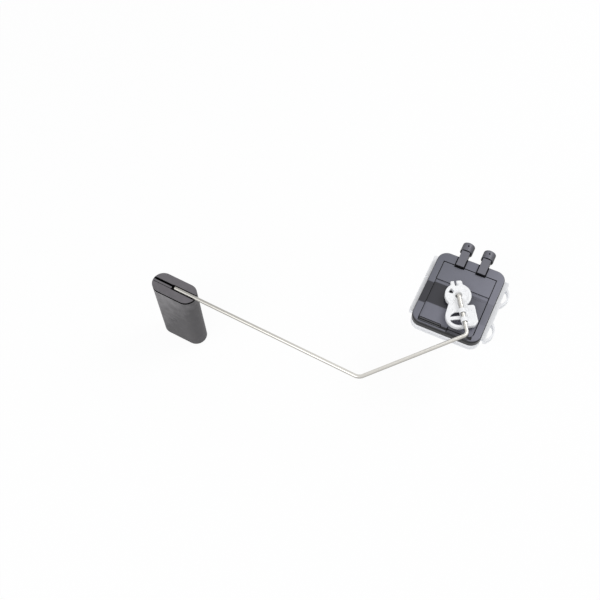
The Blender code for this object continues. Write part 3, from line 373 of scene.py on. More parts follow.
# Painted reflection: the band's dark tone and its fade stand for a reflection. Painted shade: hazeLeft darkens
# the matte tone to the left, and side darkens faces that turn from straight up.
coverLook = dict(hazeLeft=(0.13, 0.134, 0.162), hazeLow=(0.171, 0.173, 0.212), hazeHigh=(0.203, 0.205, 0.25),
                 hazeStart=-29.0, hazeEnd=11.0, hazeSlant=-0.35, reflectionTone=(0.036, 0.036, 0.044),
                 side=(0.01, 0.01, 0.012), sideLimit=0.75, topLimit=0.985, refraction=1.42, hazeRough=0.34,
                 bandRough=0.2, bandSlant=1.8, bandLow=-11.7, bandHigh=4.3, bandEdge=0.35, fadeStart=-6.0,
                 fadeEnd=26.0)


def makeCoverPlastic():  # charcoal, fine spark texture; a painted reflection gives one darker, glossier band that fades across it, and painted shade darkens the matte tone towards the left and on faces that turn from straight up
    c = coverLook
    material = makeMaterial("charcoalPlastic", c["hazeLow"], c["hazeHigh"], bump=0.15, depth=0.03,
                            grain=(0.2, 9.0, 0.7), refraction=c["refraction"])
    tree = material.node_tree
    axes = addPlace(tree)[1]
    # painted reflection: a slanted band, fading to the right, takes the darker tone
    slant = addMath(tree, "MULTIPLY_ADD", (-1200, 700), axes["Z"], c["bandSlant"], axes["Y"])
    soft, rise = c["bandEdge"], c["bandSlant"] * cover["high"]
    low, high = c["bandLow"] + rise, c["bandHigh"] + rise
    band = addRamp(tree, slant, low - soft, low + soft, (-1100, 500))
    limits = ((slant, high + soft, high - soft), (axes["X"], c["fadeEnd"], c["fadeStart"]))
    for row, (source, start, end) in enumerate(limits):
        share = addRamp(tree, source, start, end, (-1100, 250 - 250 * row))
        band = addMath(tree, "MULTIPLY", (-900, 300 - 200 * row), band, share)
    # painted shade: the matte tone darkens towards the left
    lean = addMath(tree, "MULTIPLY_ADD", (-1200, -300), axes["Y"], c["hazeSlant"], axes["X"])
    across = addRamp(tree, lean, c["hazeStart"], c["hazeEnd"], (-1100, -300))
    haze = addTone(tree, across, c["hazeLeft"], tree.nodes["tone"].outputs["Result"], (-800, 700))
    colour = addTone(tree, band, haze, c["reflectionTone"], (-650, 500))
    feeds = {"Value": band, "To Min": c["hazeRough"], "To Max": c["bandRough"]}
    # painted shade on the faces that turn from straight up
    feed(tree, tree.nodes["Principled BSDF"], {
        "Base Color": addPaintedFacingTone(tree, colour, (c["side"], c["sideLimit"], c["topLimit"])),
        "Roughness": addNode(tree, "MapRange", (-200, 300), feeds).outputs["Result"]})
    return material


# painted light and shade: skinLeft is the lit tone and skinRight the shaded tone of the skin
foamLook = dict(topLow=(0.1, 0.093, 0.103), topHigh=(0.155, 0.147, 0.159), skinLeft=(0.28, 0.273, 0.282),
                skinRight=(0.078, 0.075, 0.079), skinStart=-172.0, skinEnd=-128.0, skinSlant=-0.6,
                mottleSize=5.0, mottle=0.85, sideLimit=0.35, topLimit=0.75)


def makeFloatFoam():  # cut foam on top, a mottled skin round its side; painted light and shade run the skin from a lit tone at one end and the top to a shaded tone at the other end and the bottom
    f = foamLook
    material = makeMaterial("closedCellFoam", f["topLow"], f["topHigh"], rough=(0.6, 0.8),
                            grain=(0.35, 4.0, 0.65), bump=0.5, depth=0.06)
    tree = material.node_tree
    spot, axes = addPlace(tree)
    feeds = {"Vector": spot, "Scale": 1 / (f["mottleSize"] * mm), "Detail": 4.0}
    blots = addNode(tree, "TexNoise", (-1300, 800), feeds).outputs["Fac"]
    # painted light and shade: the skin's tone goes from lit to shaded along this slant
    slant = addMath(tree, "MULTIPLY_ADD", (-1200, 300), axes["Z"], f["skinSlant"], axes["X"])
    along = addRamp(tree, slant, f["skinStart"], f["skinEnd"], (-1100, 500))
    spread = addMath(tree, "MULTIPLY_ADD", (-1100, 800), blots, f["mottle"], along, use_clamp=True)
    skin = addTone(tree, spread, f["skinLeft"], f["skinRight"], (-800, 700))
    top = tree.nodes["tone"].outputs["Result"]
    feed(tree, tree.nodes["Principled BSDF"], {
        "Base Color": addPaintedFacingTone(tree, top, (skin, f["sideLimit"], f["topLimit"]))})
    return material


# painted shade: side darkens faces that turn downwards, and far is the darker tone of the wire by the float
steelLook = dict(dull=(0.54, 0.525, 0.49), bright=(0.7, 0.685, 0.65), side=((0.2, 0.19, 0.17), -0.4, 0.8),
                 far=(0.38, 0.37, 0.345), farPlace=-150.0, nearPlace=-60.0, lines=(30, 0.1, 1))


def makeWireSteel():  # bright drawn wire: fine lines along it, from its own map; painted shade darkens its underside and the wire by the float
    s = steelLook
    material = makeMaterial("drawnSteel", s["dull"], s["bright"], rough=(0.25, 0.36), metallic=1.0, bump=0.25,
                            depth=0.01, side=s["side"])
    tree = material.node_tree
    shader = tree.nodes["Principled BSDF"]
    chart = addNode(tree, "UVMap", (-1500, -300), uv_map="alongWire").outputs["UV"]
    stretched = addNode(tree, "Mapping", (-1300, -300), {"Vector": chart, "Scale": s["lines"]})
    feeds = {"Vector": stretched.outputs["Vector"], "Scale": 1.0, "Detail": 4.0}
    lines = addNode(tree, "TexNoise", (-1100, -300), feeds).outputs["Fac"]
    for name, socket in (("tone", "Factor"), ("gloss", "Value"), ("relief", "Height")):
        feed(tree, tree.nodes[name], {socket: lines})
    # painted shade: the wire darkens towards the float
    near = addRamp(tree, addPlace(tree)[1]["X"], s["farPlace"], s["nearPlace"], (-700, 700))
    sheen = shader.inputs["Base Color"].links[0].from_socket
    feed(tree, shader, {"Base Color": addTone(tree, near, s["far"], sheen, (0, 600))})
    return material


charcoalPlastic = makeCoverPlastic()
whiteTray = makeMaterial("whiteTrayPlastic", (0.86, 0.87, 0.9), (0.91, 0.92, 0.94), rough=(0.38, 0.5),
                         bump=0.08)
whiteHolder = makeMaterial("whiteAcetal", (0.9, 0.91, 0.935), (0.93, 0.94, 0.955), rough=(0.3, 0.42),
                           bump=0.03)
# painted shade: the posts' faces that turn from straight up are darker
blackPlastic = makeMaterial("blackPlastic", (0.148, 0.148, 0.172), (0.172, 0.172, 0.2), rough=(0.3, 0.42),
                            bump=0.12, depth=0.03, side=((0.01, 0.01, 0.012), 0.3, 0.97), refraction=1.33)
floatFoam = makeFloatFoam()
# painted shade: the darkest charcoal stands for shade in the label's lines and over the bottom border
paintedShadeCharcoal = makeMaterial("paintedShadeCharcoal", (0.01, 0.01, 0.013), (0.015, 0.015, 0.018),
                                rough=(0.2, 0.3), refraction=1.33)
# painted shade: the bar tone stands for shade on the slot's bar
barShadeCharcoal = makeMaterial("barShadeCharcoal", (0.042, 0.042, 0.048), (0.055, 0.055, 0.062), rough=(0.25, 0.35))
# painted shadow: the pocket tone stands for the holder's shadow
pocketShadowCharcoal = makeMaterial("pocketShadowCharcoal", (0.082, 0.082, 0.096), (0.1, 0.1, 0.116), refraction=1.42)
grooveShade = makeMaterial("grooveShade", (0.004, 0.004, 0.005), (0.008, 0.008, 0.009), rough=(0.7, 0.8),
                           specular=0.1)
wireSteel = makeWireSteel()
sealRubber = makeMaterial("sealRubber", (0.018, 0.018, 0.018), (0.03, 0.03, 0.03), rough=(0.6, 0.75),
                          bump=0.2, depth=0.03)
bushBrass = makeMaterial("turnedBrass", (0.72, 0.5, 0.22), (0.8, 0.6, 0.3), rough=(0.22, 0.34), metallic=1.0,
                         depth=0.01)
cardCeramic = makeMaterial("cardCeramic", (0.8, 0.79, 0.75), (0.87, 0.86, 0.82), rough=(0.5, 0.65))
trackFilm = makeMaterial("trackFilm", (0.025, 0.025, 0.03), (0.04, 0.04, 0.045), rough=(0.35, 0.5))
spacerFilm = makeMaterial("spacerFilm", (0.6, 0.33, 0.06), (0.7, 0.42, 0.1), rough=(0.3, 0.4))
softIron = makeMaterial("softIron", (0.45, 0.44, 0.42), (0.55, 0.54, 0.52), rough=(0.3, 0.45), metallic=1.0)
groundMagnet = makeMaterial("groundMagnet", (0.16, 0.16, 0.17), (0.22, 0.22, 0.23), rough=(0.4, 0.55),
                            metallic=0.6)
print("materials made")


# Front cover

postXs = (-6.7, 7.3)
strapWidth = 5.3
housingLow, housingHigh = (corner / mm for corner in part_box("front_cover"))


def housingOutline(inset, corner):
    return roundedOutline(housingLow.x + inset, housingLow.y + inset, housingHigh.x - inset,
                          housingHigh.y - inset, corner)


def roundTopEdge(shell, bottom):  # the top edge is rounded more along its lower side
    c = cover
    weights = shell.data.attributes.new("bevel_weight_edge", "FLOAT", "EDGE")
    for edge in shell.data.edges:
        a, b = (shell.data.vertices[i].co for i in edge.vertices)
        if min(a.z, b.z) > c["high"] - close:
            share = min(1, max(0, 1 - ((a.y + b.y) / 2 - bottom) / c["corner"])) ** 2
            width = c["edgeRound"] + (c["lowEdgeRound"] - c["edgeRound"]) * share
            weights.data[edge.index].value = width / c["lowEdgeRound"]
    applyModifier(shell, "BEVEL", limit_method="WEIGHT", width=c["lowEdgeRound"], segments=c["edgeSteps"],
                  use_clamp_overlap=False)
    shell.data.attributes.remove(shell.data.attributes["bevel_weight_edge"])


def recessOutline(panel, low, high, grow):  # square corners but for the lower right one
    corner = cover["recessCorner"]
    left = panel[0] - grow * cover["leftLine"]
    return ([(left, high), (left, low - grow)]
            + arcPoints((panel[1] - corner, low + corner), corner + grow, -90, 0) + [(panel[1] + grow, high)])


def buildCover():
    c = cover
    left, right, bottom, top = housingLow.x, housingHigh.x, housingLow.y, housingHigh.y
    panel = (left + c["left"], right - c["right"])
    panelTop, panelBottom = top - c["top"], bottom + c["bottom"]
    stepLine = panelTop - c["labelLength"]
    above, under, wall = c["high"] + c["clear"], c["low"] - past, c["wall"]
    shell = addBlock("cover", (left, bottom, c["low"]), (right, top, c["high"]))
    shell.data.materials.append(charcoalPlastic)
    bevelEdges(shell, c["corner"], upright, c["cornerSteps"])
    roundTopEdge(shell, bottom)
    cut(shell, addPrism("inside", housingOutline(wall, c["corner"] - wall), under, c["ceiling"]))
    cut(shell, addBlock("labelInside", (left + wall, stepLine + c["ceilingWall"], under),
                        (right - wall, top - wall - c["labelBack"], c["labelCeiling"])))
    labelFloor = c["high"] - c["labelDepth"]
    recessFloor = c["high"] - c["floorDepth"]
    cut(shell, addBlock("label", (panel[0], stepLine - lap, labelFloor), (panel[1], panelTop, above)))
    rampLine = stepLine - c["ramp"]
    recess = addPrism("recess", recessOutline(panel, panelBottom, rampLine, 0), recessFloor, above)
    ramp = addBlock("ramp", (panel[0], rampLine - 2 * lap, recessFloor), (panel[1], stepLine, above))
    moveEdge(ramp, (0, 0, labelFloor - c["step"] - recessFloor),
             lambda e: levelAt(stepLine, 1)(e) and levelAt(recessFloor)(e))
    cut(shell, recess, ramp)
    join(shell, addRod("boss", c["bossRadius"], (0, 0, c["bossLow"]), (0, 0, c["bossHigh"])))
    cut(shell, addRod("bossBore", c["bossBore"], (0, 0, c["lipTop"]), (0, 0, above)),
        addRod("lipBore", c["lipBore"], (0, 0, 0), (0, 0, above)))
    cutBottomBorder(shell, panel, bottom, panelBottom, above)
    cutCoverLines(shell, panel, panelTop, panelBottom, stepLine, above)
    cutChannels(shell, panelTop, top, above)
    soften(shell, c["soft"])
    finishPiece(shell, "coverShell", charcoalPlastic, "housing", ["front_cover"])


def cutChannels(shell, panelTop, top, above):  # where the straps lie, with a trench at their ends
    c = cover
    half = strapWidth / 2 + c["channelRoom"]
    inner = half - lap / 2
    start = panelTop - c["channelStart"]
    for x in postXs:
        cut(shell, addBlock("channel", (x - half, start + lap, c["high"] - c["channelDepth"]),
                            (x + half, top + past, above)),
            addBlock("trench", (x - inner, start, c["high"] - c["trenchDepth"]),
                     (x + inner, start + c["trench"], above + lap)), material=grooveShade)
        cut(shell, addRod("pinWay", c["pinWay"], (x, top - c["wall"] - past, c["pinHeight"]),
                          (x, top + past, c["pinHeight"])))


def cutCoverLines(shell, panel, panelTop, panelBottom, stepLine, above):
    c = cover
    line, low = c["line"], c["high"] - c["labelDepth"] - c["lineDepth"]
    left, right, step = panel[0], panel[1], stepLine + 2 * lap
    # painted shade: the label's lines take the darkest charcoal
    for name, start, end in (("lineTop", (left - line, panelTop), (right + line, panelTop + line)),
                             ("lineLeft", (left - line, stepLine), (left + lap, panelTop + lap)),
                             ("lineRight", (right - lap, stepLine), (right + line, panelTop + lap)),
                             ("lineStep", (left, step), (right, step + line))):
        cut(shell, addBlock(name, (*start, low), (*end, above)), material=paintedShadeCharcoal)
    base = c["high"] - c["recessLineDepth"]
    outside = recessOutline(panel, panelBottom, stepLine + lap, c["recessLine"])
    inside = recessOutline(panel, panelBottom, stepLine + past, -c["overlap"])
    ring = addPrism("recessLine", outside, base, above)
    cut(ring, addPrism("recessLineInside", inside, base - past, above + past))
    cut(shell, ring, material=grooveShade)


def cutBottomBorder(shell, panel, bottom, panelBottom, above):  # a thin sheet of painted shade over the border, with a slot outline and a pocket
    c = cover
    # painted shade: a thin sheet over the bottom border takes the darkest charcoal
    cut(shell, addBlock("borderFace", (panel[0], bottom - past, c["high"] - c["borderDepth"]),
                        (panel[1], panelBottom + lap, above)), material=paintedShadeCharcoal)
    start, middle = panel[0], panelBottom - c["slotMiddle"]
    end, half, low = start + c["slotLength"], c["slotWidth"] / 2, c["high"] - c["slotDepth"]
    slot = slotBody("slot", start, end, middle, half, low, above)
    line = c["slotLine"]
    cut(slot, slotBody("bar", start + line, end - line, middle, half - line, low - past, above + past))
    # painted shade: a thin pad in the slot takes the darker bar tone
    padLow = c["high"] - c["floorDepth"] - c["borderDepth"]
    cut(shell, slotBody("slotPad", start, end, middle, half, padLow, above), material=barShadeCharcoal)
    cut(shell, slot, material=grooveShade)
    left, high = start + c["pocketStart"], panelBottom + c["pocketRise"]
    right, low, line = left + c["pocketLength"], high - c["pocketWidth"], c["pocketLine"]
    # painted shadow: the pocket's floor is darkened where the holder's shadow falls
    cut(shell, addBlock("pocket", (left, low, c["high"] - c["pocketDepth"]), (right, high, above)),
        material=pocketShadowCharcoal)
    cut(shell, addBlock("pocketSide", (left - lap, low + lap / 2, c["high"] - c["pocketLineDepth"]),
                        (left + line, high - lap / 2, above)),
        addBlock("pocketEdge", (left + lap, low - line, c["high"] - 2 * line),
                 (right - lap, low + lap, above + lap)), material=grooveShade)


def slotBody(name, start, end, middle, half, low, high):  # square at its start, round at its end
    outline = [(start, middle + half), (start, middle - half)]
    return addPrism(name, outline + arcPoints((end - half, middle), half, -90, 90), low, high)


buildCover()


# Base tray

tray = dict(floor=1.6, rim=4.3, rimWall=1.8, ledge=3.0, ledgeWall=3.2, corner=6.5, ringInset=0.15, lip=0.5,
            backRound=0.5, railLow=0.8, railHigh=4.0, railStart=8.3, railEnd=2.4, railRound=0.5, railInside=0.9,
            notchFrom=34.1, notchLength=1.4, notchDepth=1.4, latchCentres=(14.4, 41.2), latchLength=14.5,
            latchReach=3.2, latchWall=1.1, latchLow=0.4, latchHigh=4.0, latchCurve=2.2, latchSteps=32,
            railReach=2.9, socket=2.75, socketTop=2.3, bore=1.55, socketFloor=1.0, pocket=(10.0, 30.0),
            pocketDepth=0.5, pocketCentre=13.0, pocketCorner=2.0, cornerSteps=6, ribs=(-7.5, 0.0, 7.5), rib=0.9,
            markRadius=1.6, markPlace=2.2, markDepth=0.12, soft=0.15)


def trayRing(name, wall, low, high):
    inset, corner = tray["ringInset"], tray["corner"] - tray["ringInset"]
    ring = addPrism(name, housingOutline(inset, corner), low, high)
    cut(ring, addPrism(name + "Inside", housingOutline(inset + wall, corner - wall), low - past, high + past))
    return ring


def addTrayRails(body):
    t = tray
    start, end = housingLow.y + t["railStart"], housingHigh.y - t["railEnd"]
    outer = (housingLow.x - t["railReach"], housingHigh.x + t["railReach"])
    inner = (housingLow.x + t["railInside"], housingHigh.x - t["railInside"])
    for name, x, inside in zip(("leftRail", "rightRail"), outer, inner):
        rail = addBlock(name, (min(x, inside), start, t["railLow"]), (max(x, inside), end, t["railHigh"]))
        bevelEdges(rail, t["railRound"], lambda e: upright(e) and abs(e.verts[0].co.x - x) < close)
        join(body, rail)
    notch = housingLow.y + t["notchFrom"]
    cut(body, addBlock("notch", (outer[0] - past, notch, 0),
                       (outer[0] + t["notchDepth"], notch + t["notchLength"], t["rim"])))


def bowOutline(root, side, centre, length, reach):  # a bow that stands out from the rail's side
    outline = []
    for i in range(tray["latchSteps"] + 1):
        along = 2 * i / tray["latchSteps"] - 1
        outline.append((side + reach * (1 - abs(along) ** tray["latchCurve"]), centre + along * length / 2))
    return [(root, outline[0][1])] + outline + [(root, outline[-1][1])]


def addTrayLatch(body, centre):
    t = tray
    side, wall = housingHigh.x + t["railReach"], t["latchWall"]
    outer = bowOutline(side - t["railReach"] / 2, side, centre, t["latchLength"], t["latchReach"])
    join(body, addPrism("latch", outer, t["latchLow"], t["latchHigh"]))
    gap = bowOutline(side - wall / 2, side, centre, t["latchLength"] - 4 * wall, t["latchReach"] - wall)
    cut(body, addPrism("latchGap", gap, -past, t["rim"] + past))


def cutTrayBack(body):  # two shallow fields with cross ribs, and the round marks that ejector pins leave
    t = tray
    middle = (housingLow + housingHigh) / 2
    width, length = t["pocket"]
    for side in (-1, 1):
        x = middle.x + side * t["pocketCentre"]
        outline = roundedOutline(x - width / 2, middle.y - length / 2, x + width / 2, middle.y + length / 2,
                                 t["pocketCorner"], t["cornerSteps"])
        field = addPrism("backField", outline, -past, t["pocketDepth"])
        for y in t["ribs"]:
            cut(field, addBlock("rib", (x - width, middle.y + y - t["rib"] / 2, -2 * past),
                                (x + width, middle.y + y + t["rib"] / 2, t["floor"])))
        cut(body, field)
        for end in (-1, 1):
            y = middle.y + end * (length / 2 + t["markPlace"] * t["markRadius"])
            cut(body, addRod("ejectorMark", t["markRadius"], (x, y, -past), (x, y, t["markDepth"]), sides=40))


def buildTray():
    t = tray
    outline = roundedOutline(housingLow.x, housingLow.y - t["lip"], housingHigh.x, housingHigh.y, t["corner"])
    body = addPrism("tray", outline, 0, t["floor"])
    bevelEdges(body, t["backRound"], levelAt(0))
    root = t["floor"] / 2
    join(body, trayRing("ledge", t["ledgeWall"], root, t["ledge"]),
         trayRing("rim", t["rimWall"], root, t["rim"]))
    addTrayRails(body)
    for centre in t["latchCentres"]:
        addTrayLatch(body, housingLow.y + centre)
    join(body, addRod("socket", t["socket"], (0, 0, root), (0, 0, t["socketTop"])))
    cut(body, addRod("socketBore", t["bore"], (0, 0, t["socketFloor"]), (0, 0, t["rim"])))
    cutTrayBack(body)
    soften(body, t["soft"])
    finishPiece(body, "baseTray", whiteTray, "housing", ["base_frame"])


buildTray()


# Terminal posts

post = dict(strapLow=8.7, strapHigh=10.8, strapStart=21.25, strapEnd=34.3, strapCorner=0.35, strapRound=0.3,
            height=7.0, capRadius=4.0, capStart=33.85, capEnd=40.1, capRound=0.6, mouthRound=0.2,
            neckRadius=3.0, neckStart=29.1, socketRadius=2.6, socketStart=35.7, socketLead=0.4, bore=0.8,
            dimple=0.6, dimpleTaper=0.7, dimpleDepth=1.0, dimplePlace=37.3, groove=0.85, grooveFloor=9.4,
            soft=0.08)


def buildPosts():
    p = post
    half, z, capEnd = strapWidth / 2, post["height"], post["capEnd"]
    outline = roundedOutline(-half, p["strapStart"], half, p["strapEnd"], p["strapCorner"], steps=4)
    body = addPrism("strap", outline, p["strapLow"], p["strapHigh"])
    body.data.materials.append(blackPlastic)
    bevelEdges(body, p["strapRound"], levelAt(p["strapHigh"]), segments=3)
    cut(body, addBlock("strapGroove", (-half - past, p["capStart"] - p["groove"], p["grooveFloor"]),
                       (half + past, p["strapEnd"] + past, p["strapHigh"] + past)), material=grooveShade)
    cap = addRod("cap", p["capRadius"], (0, p["capStart"], z), (0, capEnd, z), sides=96)
    bevelEdges(cap, p["capRound"], levelAt(capEnd, 1), segments=6)
    bevelEdges(cap, p["mouthRound"], levelAt(p["capStart"], 1), segments=3)
    join(body, addRod("neck", p["neckRadius"], (0, p["neckStart"], z), (0, p["strapEnd"], z)), cap)
    cut(body, addRod("socket", p["socketRadius"], (0, p["socketStart"], z), (0, capEnd + past, z)),
        addRod("socketLead", p["socketRadius"], (0, capEnd - p["socketLead"], z), (0, capEnd + lap, z),
               endRadius=p["socketRadius"] + p["socketLead"]),
        addRod("pinBore", p["bore"], (0, p["neckStart"] - past, z), (0, p["socketStart"] + past, z), sides=32))
    place, top = p["dimplePlace"], z + p["capRadius"]
    cut(body, addRod("dimple", p["dimple"] * p["dimpleTaper"], (0, place, top - p["dimpleDepth"]),
                     (0, place, top + 2 * lap), 32, p["dimple"]), material=grooveShade)
    soften(body, p["soft"])
    for side, x in zip(("left", "right"), postXs):
        pick(body)
        bpy.ops.object.duplicate()
        finishPiece(bpy.context.object, side + "Post", blackPlastic, "housing",
                    ["terminal_post_" + side], shift=(x, 0))
    bpy.data.objects.remove(body)


buildPosts()


# Arm holder, along (x) and across (y) the wire from the pivot, then turned to where the wire leaves

armTurn = math.radians(-58.6)
wireHeight = 14.0
holder = dict(low=9.6, high=12.6, hub=8.1, hubInside=7.6, rimTop=12.8, rimWall=1.7, boss=3.0, bossTop=12.95,
              sunk=0.3, pockets=(62, 130, 298), window=228, windowSize=(2.6, 17), pocketHalf=15,
              pocketInset=0.3, pocketWidth=1.9, pocketDepth=0.35, hubBore=1.32, bore=1.55, funnelRise=1.1,
              funnelSpread=1.3, hollowWall=0.9, hollowTop=1.1, prong=2.0, prongSlot=1.5, slotDepth=3.5,
              prongLeft=3.0, prongRight=4.2, hole=(-8.3, 0.75, -6.5, 1.5), holeCorner=0.35,
              loopCentre=(14.5, -2.5), loopRadius=7.9, loopWall=1.75, loopStart=-115, loopEnd=4, webStart=-6.4,
              webWall=0.9, webGap=0.3, bar=14.4, barWidth=2.3, crescent=5.9, crescentPast=3.2, crescentDrop=0.3,
              seatWall=1.2, plateStart=7.7, plateEnd=21.9, plateSide=8.5, plateRoot=3.4, plateHeel=4.3,
              plateCorner=1.3, plateChamfer=2.3, plateRim=1.2, fieldDepth=0.35, pocketFloor=1.2, plateDepth=0.2,
              plateHole=(11.0, 3.4, 1.3, 2.7), plateHoleCorner=0.3, plateHoleDepth=0.6, clips=(10.6, 16.8),
              clipLength=3.0, clipWall=0.65, clipRound=0.35, clipAngle=1.2, cornerRound=0.45, cornerAngle=0.4,
              wayPast=3.0, roomPast=5.0, grain=0.16, passes=9)


def holderOutline():
    h = holder
    hub, slot, tip = h["hubInside"], h["prongSlot"] / 2, -h["hub"] - h["prong"]
    angle = lambda side: math.degrees(math.asin(side / hub))
    outline = arcPoints((0, 0), hub, angle(h["plateRoot"]), 180 - angle(h["prongRight"]), steps=36)
    outline += [(tip + slot, h["prongRight"]), (tip, h["prongRight"] - slot), (tip, -h["prongLeft"])]
    outline += arcPoints((0, 0), hub, 180 + angle(h["prongLeft"]), 360 + angle(h["webStart"]), steps=32)
    outline += arcPoints(h["loopCentre"], h["loopRadius"], h["loopStart"], h["loopEnd"], steps=40)
    end, side, corner = h["plateEnd"], h["plateSide"], h["plateCorner"]
    outline += [(end, side - h["plateChamfer"]), (end - h["plateChamfer"], side)]
    outline += arcPoints((h["plateStart"] + corner, side - corner), corner, 90, 180, steps=8)
    outline.append((h["plateStart"], h["plateHeel"]))
    return outline


def sectorOutline(inner, outer, middle, half):
    return (arcPoints((0, 0), outer, middle - half, middle + half, steps=10)
            + arcPoints((0, 0), inner, middle + half, middle - half, steps=10))


def cutHolderWindows(body):  # two windows at the wire's seat, and the hollow under the loop
    h = holder
    low, high, seat = h["low"] - past, h["high"] + past, -h["seatWall"]
    centre = (h["bar"] + h["crescentPast"], h["loopCentre"][1] - h["crescentDrop"])
    spread = math.degrees(math.acos(h["crescentPast"] / h["crescent"]))
    last = math.degrees(math.asin((seat - centre[1]) / h["crescent"]))
    upper = arcPoints(centre, h["crescent"], 180 + spread, 180 - last, steps=20) + [(h["bar"], seat)]
    inner = h["loopRadius"] - h["loopWall"]
    barEnd = h["bar"] + h["barWidth"]
    level = seat - h["loopCentre"][1]
    start = -math.degrees(math.acos((barEnd - h["loopCentre"][0]) / inner))
    end = math.degrees(math.asin(level / inner))
    lower = [(barEnd, seat)] + arcPoints(h["loopCentre"], inner, start, end, steps=24)
    cut(body, addPrism("upperWindow", upper, low, high), addPrism("lowerWindow", lower, low, high))
    hollow = h["loopRadius"] - h["hollowWall"]
    turn = math.degrees(math.asin(level / hollow))
    cut(body, addPrism("underHollow", arcPoints(h["loopCentre"], hollow, -180 - turn, turn, steps=48), low,
                       h["high"] - h["hollowTop"]))


def cutHolderFields(body):  # the shallow fields of the web and the plate, with one small deep hole
    h = holder
    high = h["high"] + past
    end, near = h["bar"] + h["crescentPast"] - h["crescent"] - h["webWall"], -h["bore"] - h["webGap"]
    web = [(h["boss"], near), (end, near), (end, h["webStart"] + h["loopWall"]),
           (end - h["loopWall"], h["webStart"]), (h["boss"], -h["boss"])]
    rim, clip = h["plateRim"], h["bore"] + h["clipWall"] + h["plateRim"]
    start, end, side = h["plateStart"] + rim, h["plateEnd"] - rim, h["plateSide"] - rim
    plate = [(end, h["plateSide"] - h["plateChamfer"] - rim / 2),
             (h["plateEnd"] - h["plateChamfer"] - rim / 2, side), (start, side), (start, clip), (end, clip)]
    x, y, length, width = h["plateHole"]
    deep = roundedOutline(x, y, x + length, y + width, h["plateHoleCorner"], steps=4)
    for name, outline, depth in zip(("web", "plate", "plateHole"), (web, plate, deep),
                                    (h["fieldDepth"], h["plateDepth"], h["plateHoleDepth"])):
        cut(body, addPrism(name, outline, h["high"] - depth, high))


def cutHubPockets(body):
    h = holder
    outer, above = h["hub"] - h["rimWall"] - h["pocketInset"], h["rimTop"] + past
    lows = {angle: h["high"] - h["pocketDepth"] for angle in h["pockets"]}
    lows[h["window"]] = h["low"] - past
    for angle, low in lows.items():
        width, half = h["windowSize"] if angle == h["window"] else (h["pocketWidth"], h["pocketHalf"])
        cut(body, addPrism("hubPocket", sectorOutline(outer - width, outer, angle, half), low, above))
    hole = roundedOutline(*h["hole"], h["holeCorner"], steps=4)
    cut(body, addPrism("prongHole", hole, h["high"] - h["pocketFloor"], above))


def addClip(body, start):  # a round saddle over the wire
    h = holder
    side = h["bore"] + h["clipWall"]
    end = start + h["clipLength"]
    clip = addBlock("clip", (start, -side, h["high"] - h["sunk"]), (end, side, wireHeight))
    join(clip, addRod("clipCrown", side, (start, 0, wireHeight), (end, 0, wireHeight)))
    bevelEdges(clip, h["clipRound"], lambda e: e.calc_face_angle(0) > h["clipAngle"]
               and all(abs(v.co.x - e.verts[0].co.x) < close and v.co.z > h["high"] for v in e.verts), 3)
    join(body, clip)


def cutWireWay(body):
    h = holder
    cut(body, addRod("hubBore", h["hubBore"], (0, 0, h["low"] - past), (0, 0, wireHeight)),
        addRod("funnel", h["hubBore"], (0, 0, h["high"] - h["funnelRise"]), (0, 0, h["bossTop"] + h["sunk"]),
               endRadius=h["hubBore"] + h["funnelSpread"]),
        addRod("wireWay", h["bore"], (0, 0, wireHeight), (h["plateEnd"] + h["wayPast"], 0, wireHeight)),
        addBlock("wireRoom", (0, -h["bore"], wireHeight),
                 (h["hub"] + h["sunk"], h["bore"], wireHeight + h["roomPast"])))


def buildHolder():
    h = holder
    body = addPrism("holder", holderOutline(), h["low"], h["high"])
    bevelEdges(body, h["cornerRound"], lambda e: upright(e) and e.calc_face_angle(0) > h["cornerAngle"])
    join(body, addRod("hub", h["hub"], (0, 0, h["low"]), (0, 0, h["rimTop"]), sides=128))
    tip, slot, above = -h["hub"] - h["prong"], h["prongSlot"] / 2, h["rimTop"] + past
    cut(body, addRod("hubFace", h["hub"] - h["rimWall"], (0, 0, h["high"]), (0, 0, above), sides=128),
        addBlock("prongSlot", (tip - past, -slot, h["low"] - past), (tip + h["slotDepth"], slot, above)))
    join(body, addRod("hubBoss", h["boss"], (0, 0, h["high"] - h["sunk"]), (0, 0, h["bossTop"])))
    for start in h["clips"]:
        addClip(body, start)
    cutHolderWindows(body)
    cutHolderFields(body)
    cutHubPockets(body)
    cutWireWay(body)
    melt(body, h["grain"], h["passes"])
    finishPiece(body, "armHolder", whiteHolder, "arm", ["arm_holder"], turn=armTurn)


buildHolder()


# Wire arm, drawn out from its foot: straight runs are extruded and bends are spun

wire = dict(radius=1.18, foot=1.3, footChamfer=0.25, sides=48, bends=(2.4, 3.4, 5.5), bendSteps=(16, 18, 18),
            runs=(28.2, 71.1, 127.8), turns=(-58.6, -131.6, -183.2), tip=0.7, tipSteps=5)
wireWays = [Vector((math.cos(turn), math.sin(turn), 0)) for turn in map(math.radians, wire["turns"])]


def drawStraight(step):
    bpy.ops.mesh.extrude_region_move(TRANSFORM_OT_translate={"value": step})


def drawBend(place, before, after, radius, steps):  # returns the middle of the wire where the bend ends
    turn = before.angle(after)
    inward = (after - before * before.dot(after)).normalized()
    centre = place + inward * radius
    bpy.ops.mesh.spin(steps=steps, angle=-turn, center=centre, axis=before.cross(after).normalized())
    return centre - inward * radius * math.cos(turn) + before * radius * math.sin(turn)


def mapAlongWire(body):  # a map that goes round the wire in u and along it, in millimetres, in v
    sides = wire["sides"]
    corners = body.data.vertices
    rings = [sum((corners[i].co for i in range(k, k + sides)), Vector()) / sides
             for k in range(0, len(corners) - sides + 1, sides)]
    along = [0.0]
    for before, after in zip(rings, rings[1:]):
        along.append(along[-1] + (after - before).length)
    chart = body.data.uv_layers.new(name="alongWire")
    for face in body.data.polygons:
        places = [v % sides for v in face.vertices]
        wraps = 0 in places and sides - 1 in places
        for loop in face.loop_indices:
            ring, around = divmod(body.data.loops[loop].vertex_index, sides)
            around += sides if wraps and around == 0 else 0
            chart.data[loop].uv = (around / sides, along[min(ring, len(along) - 1)])


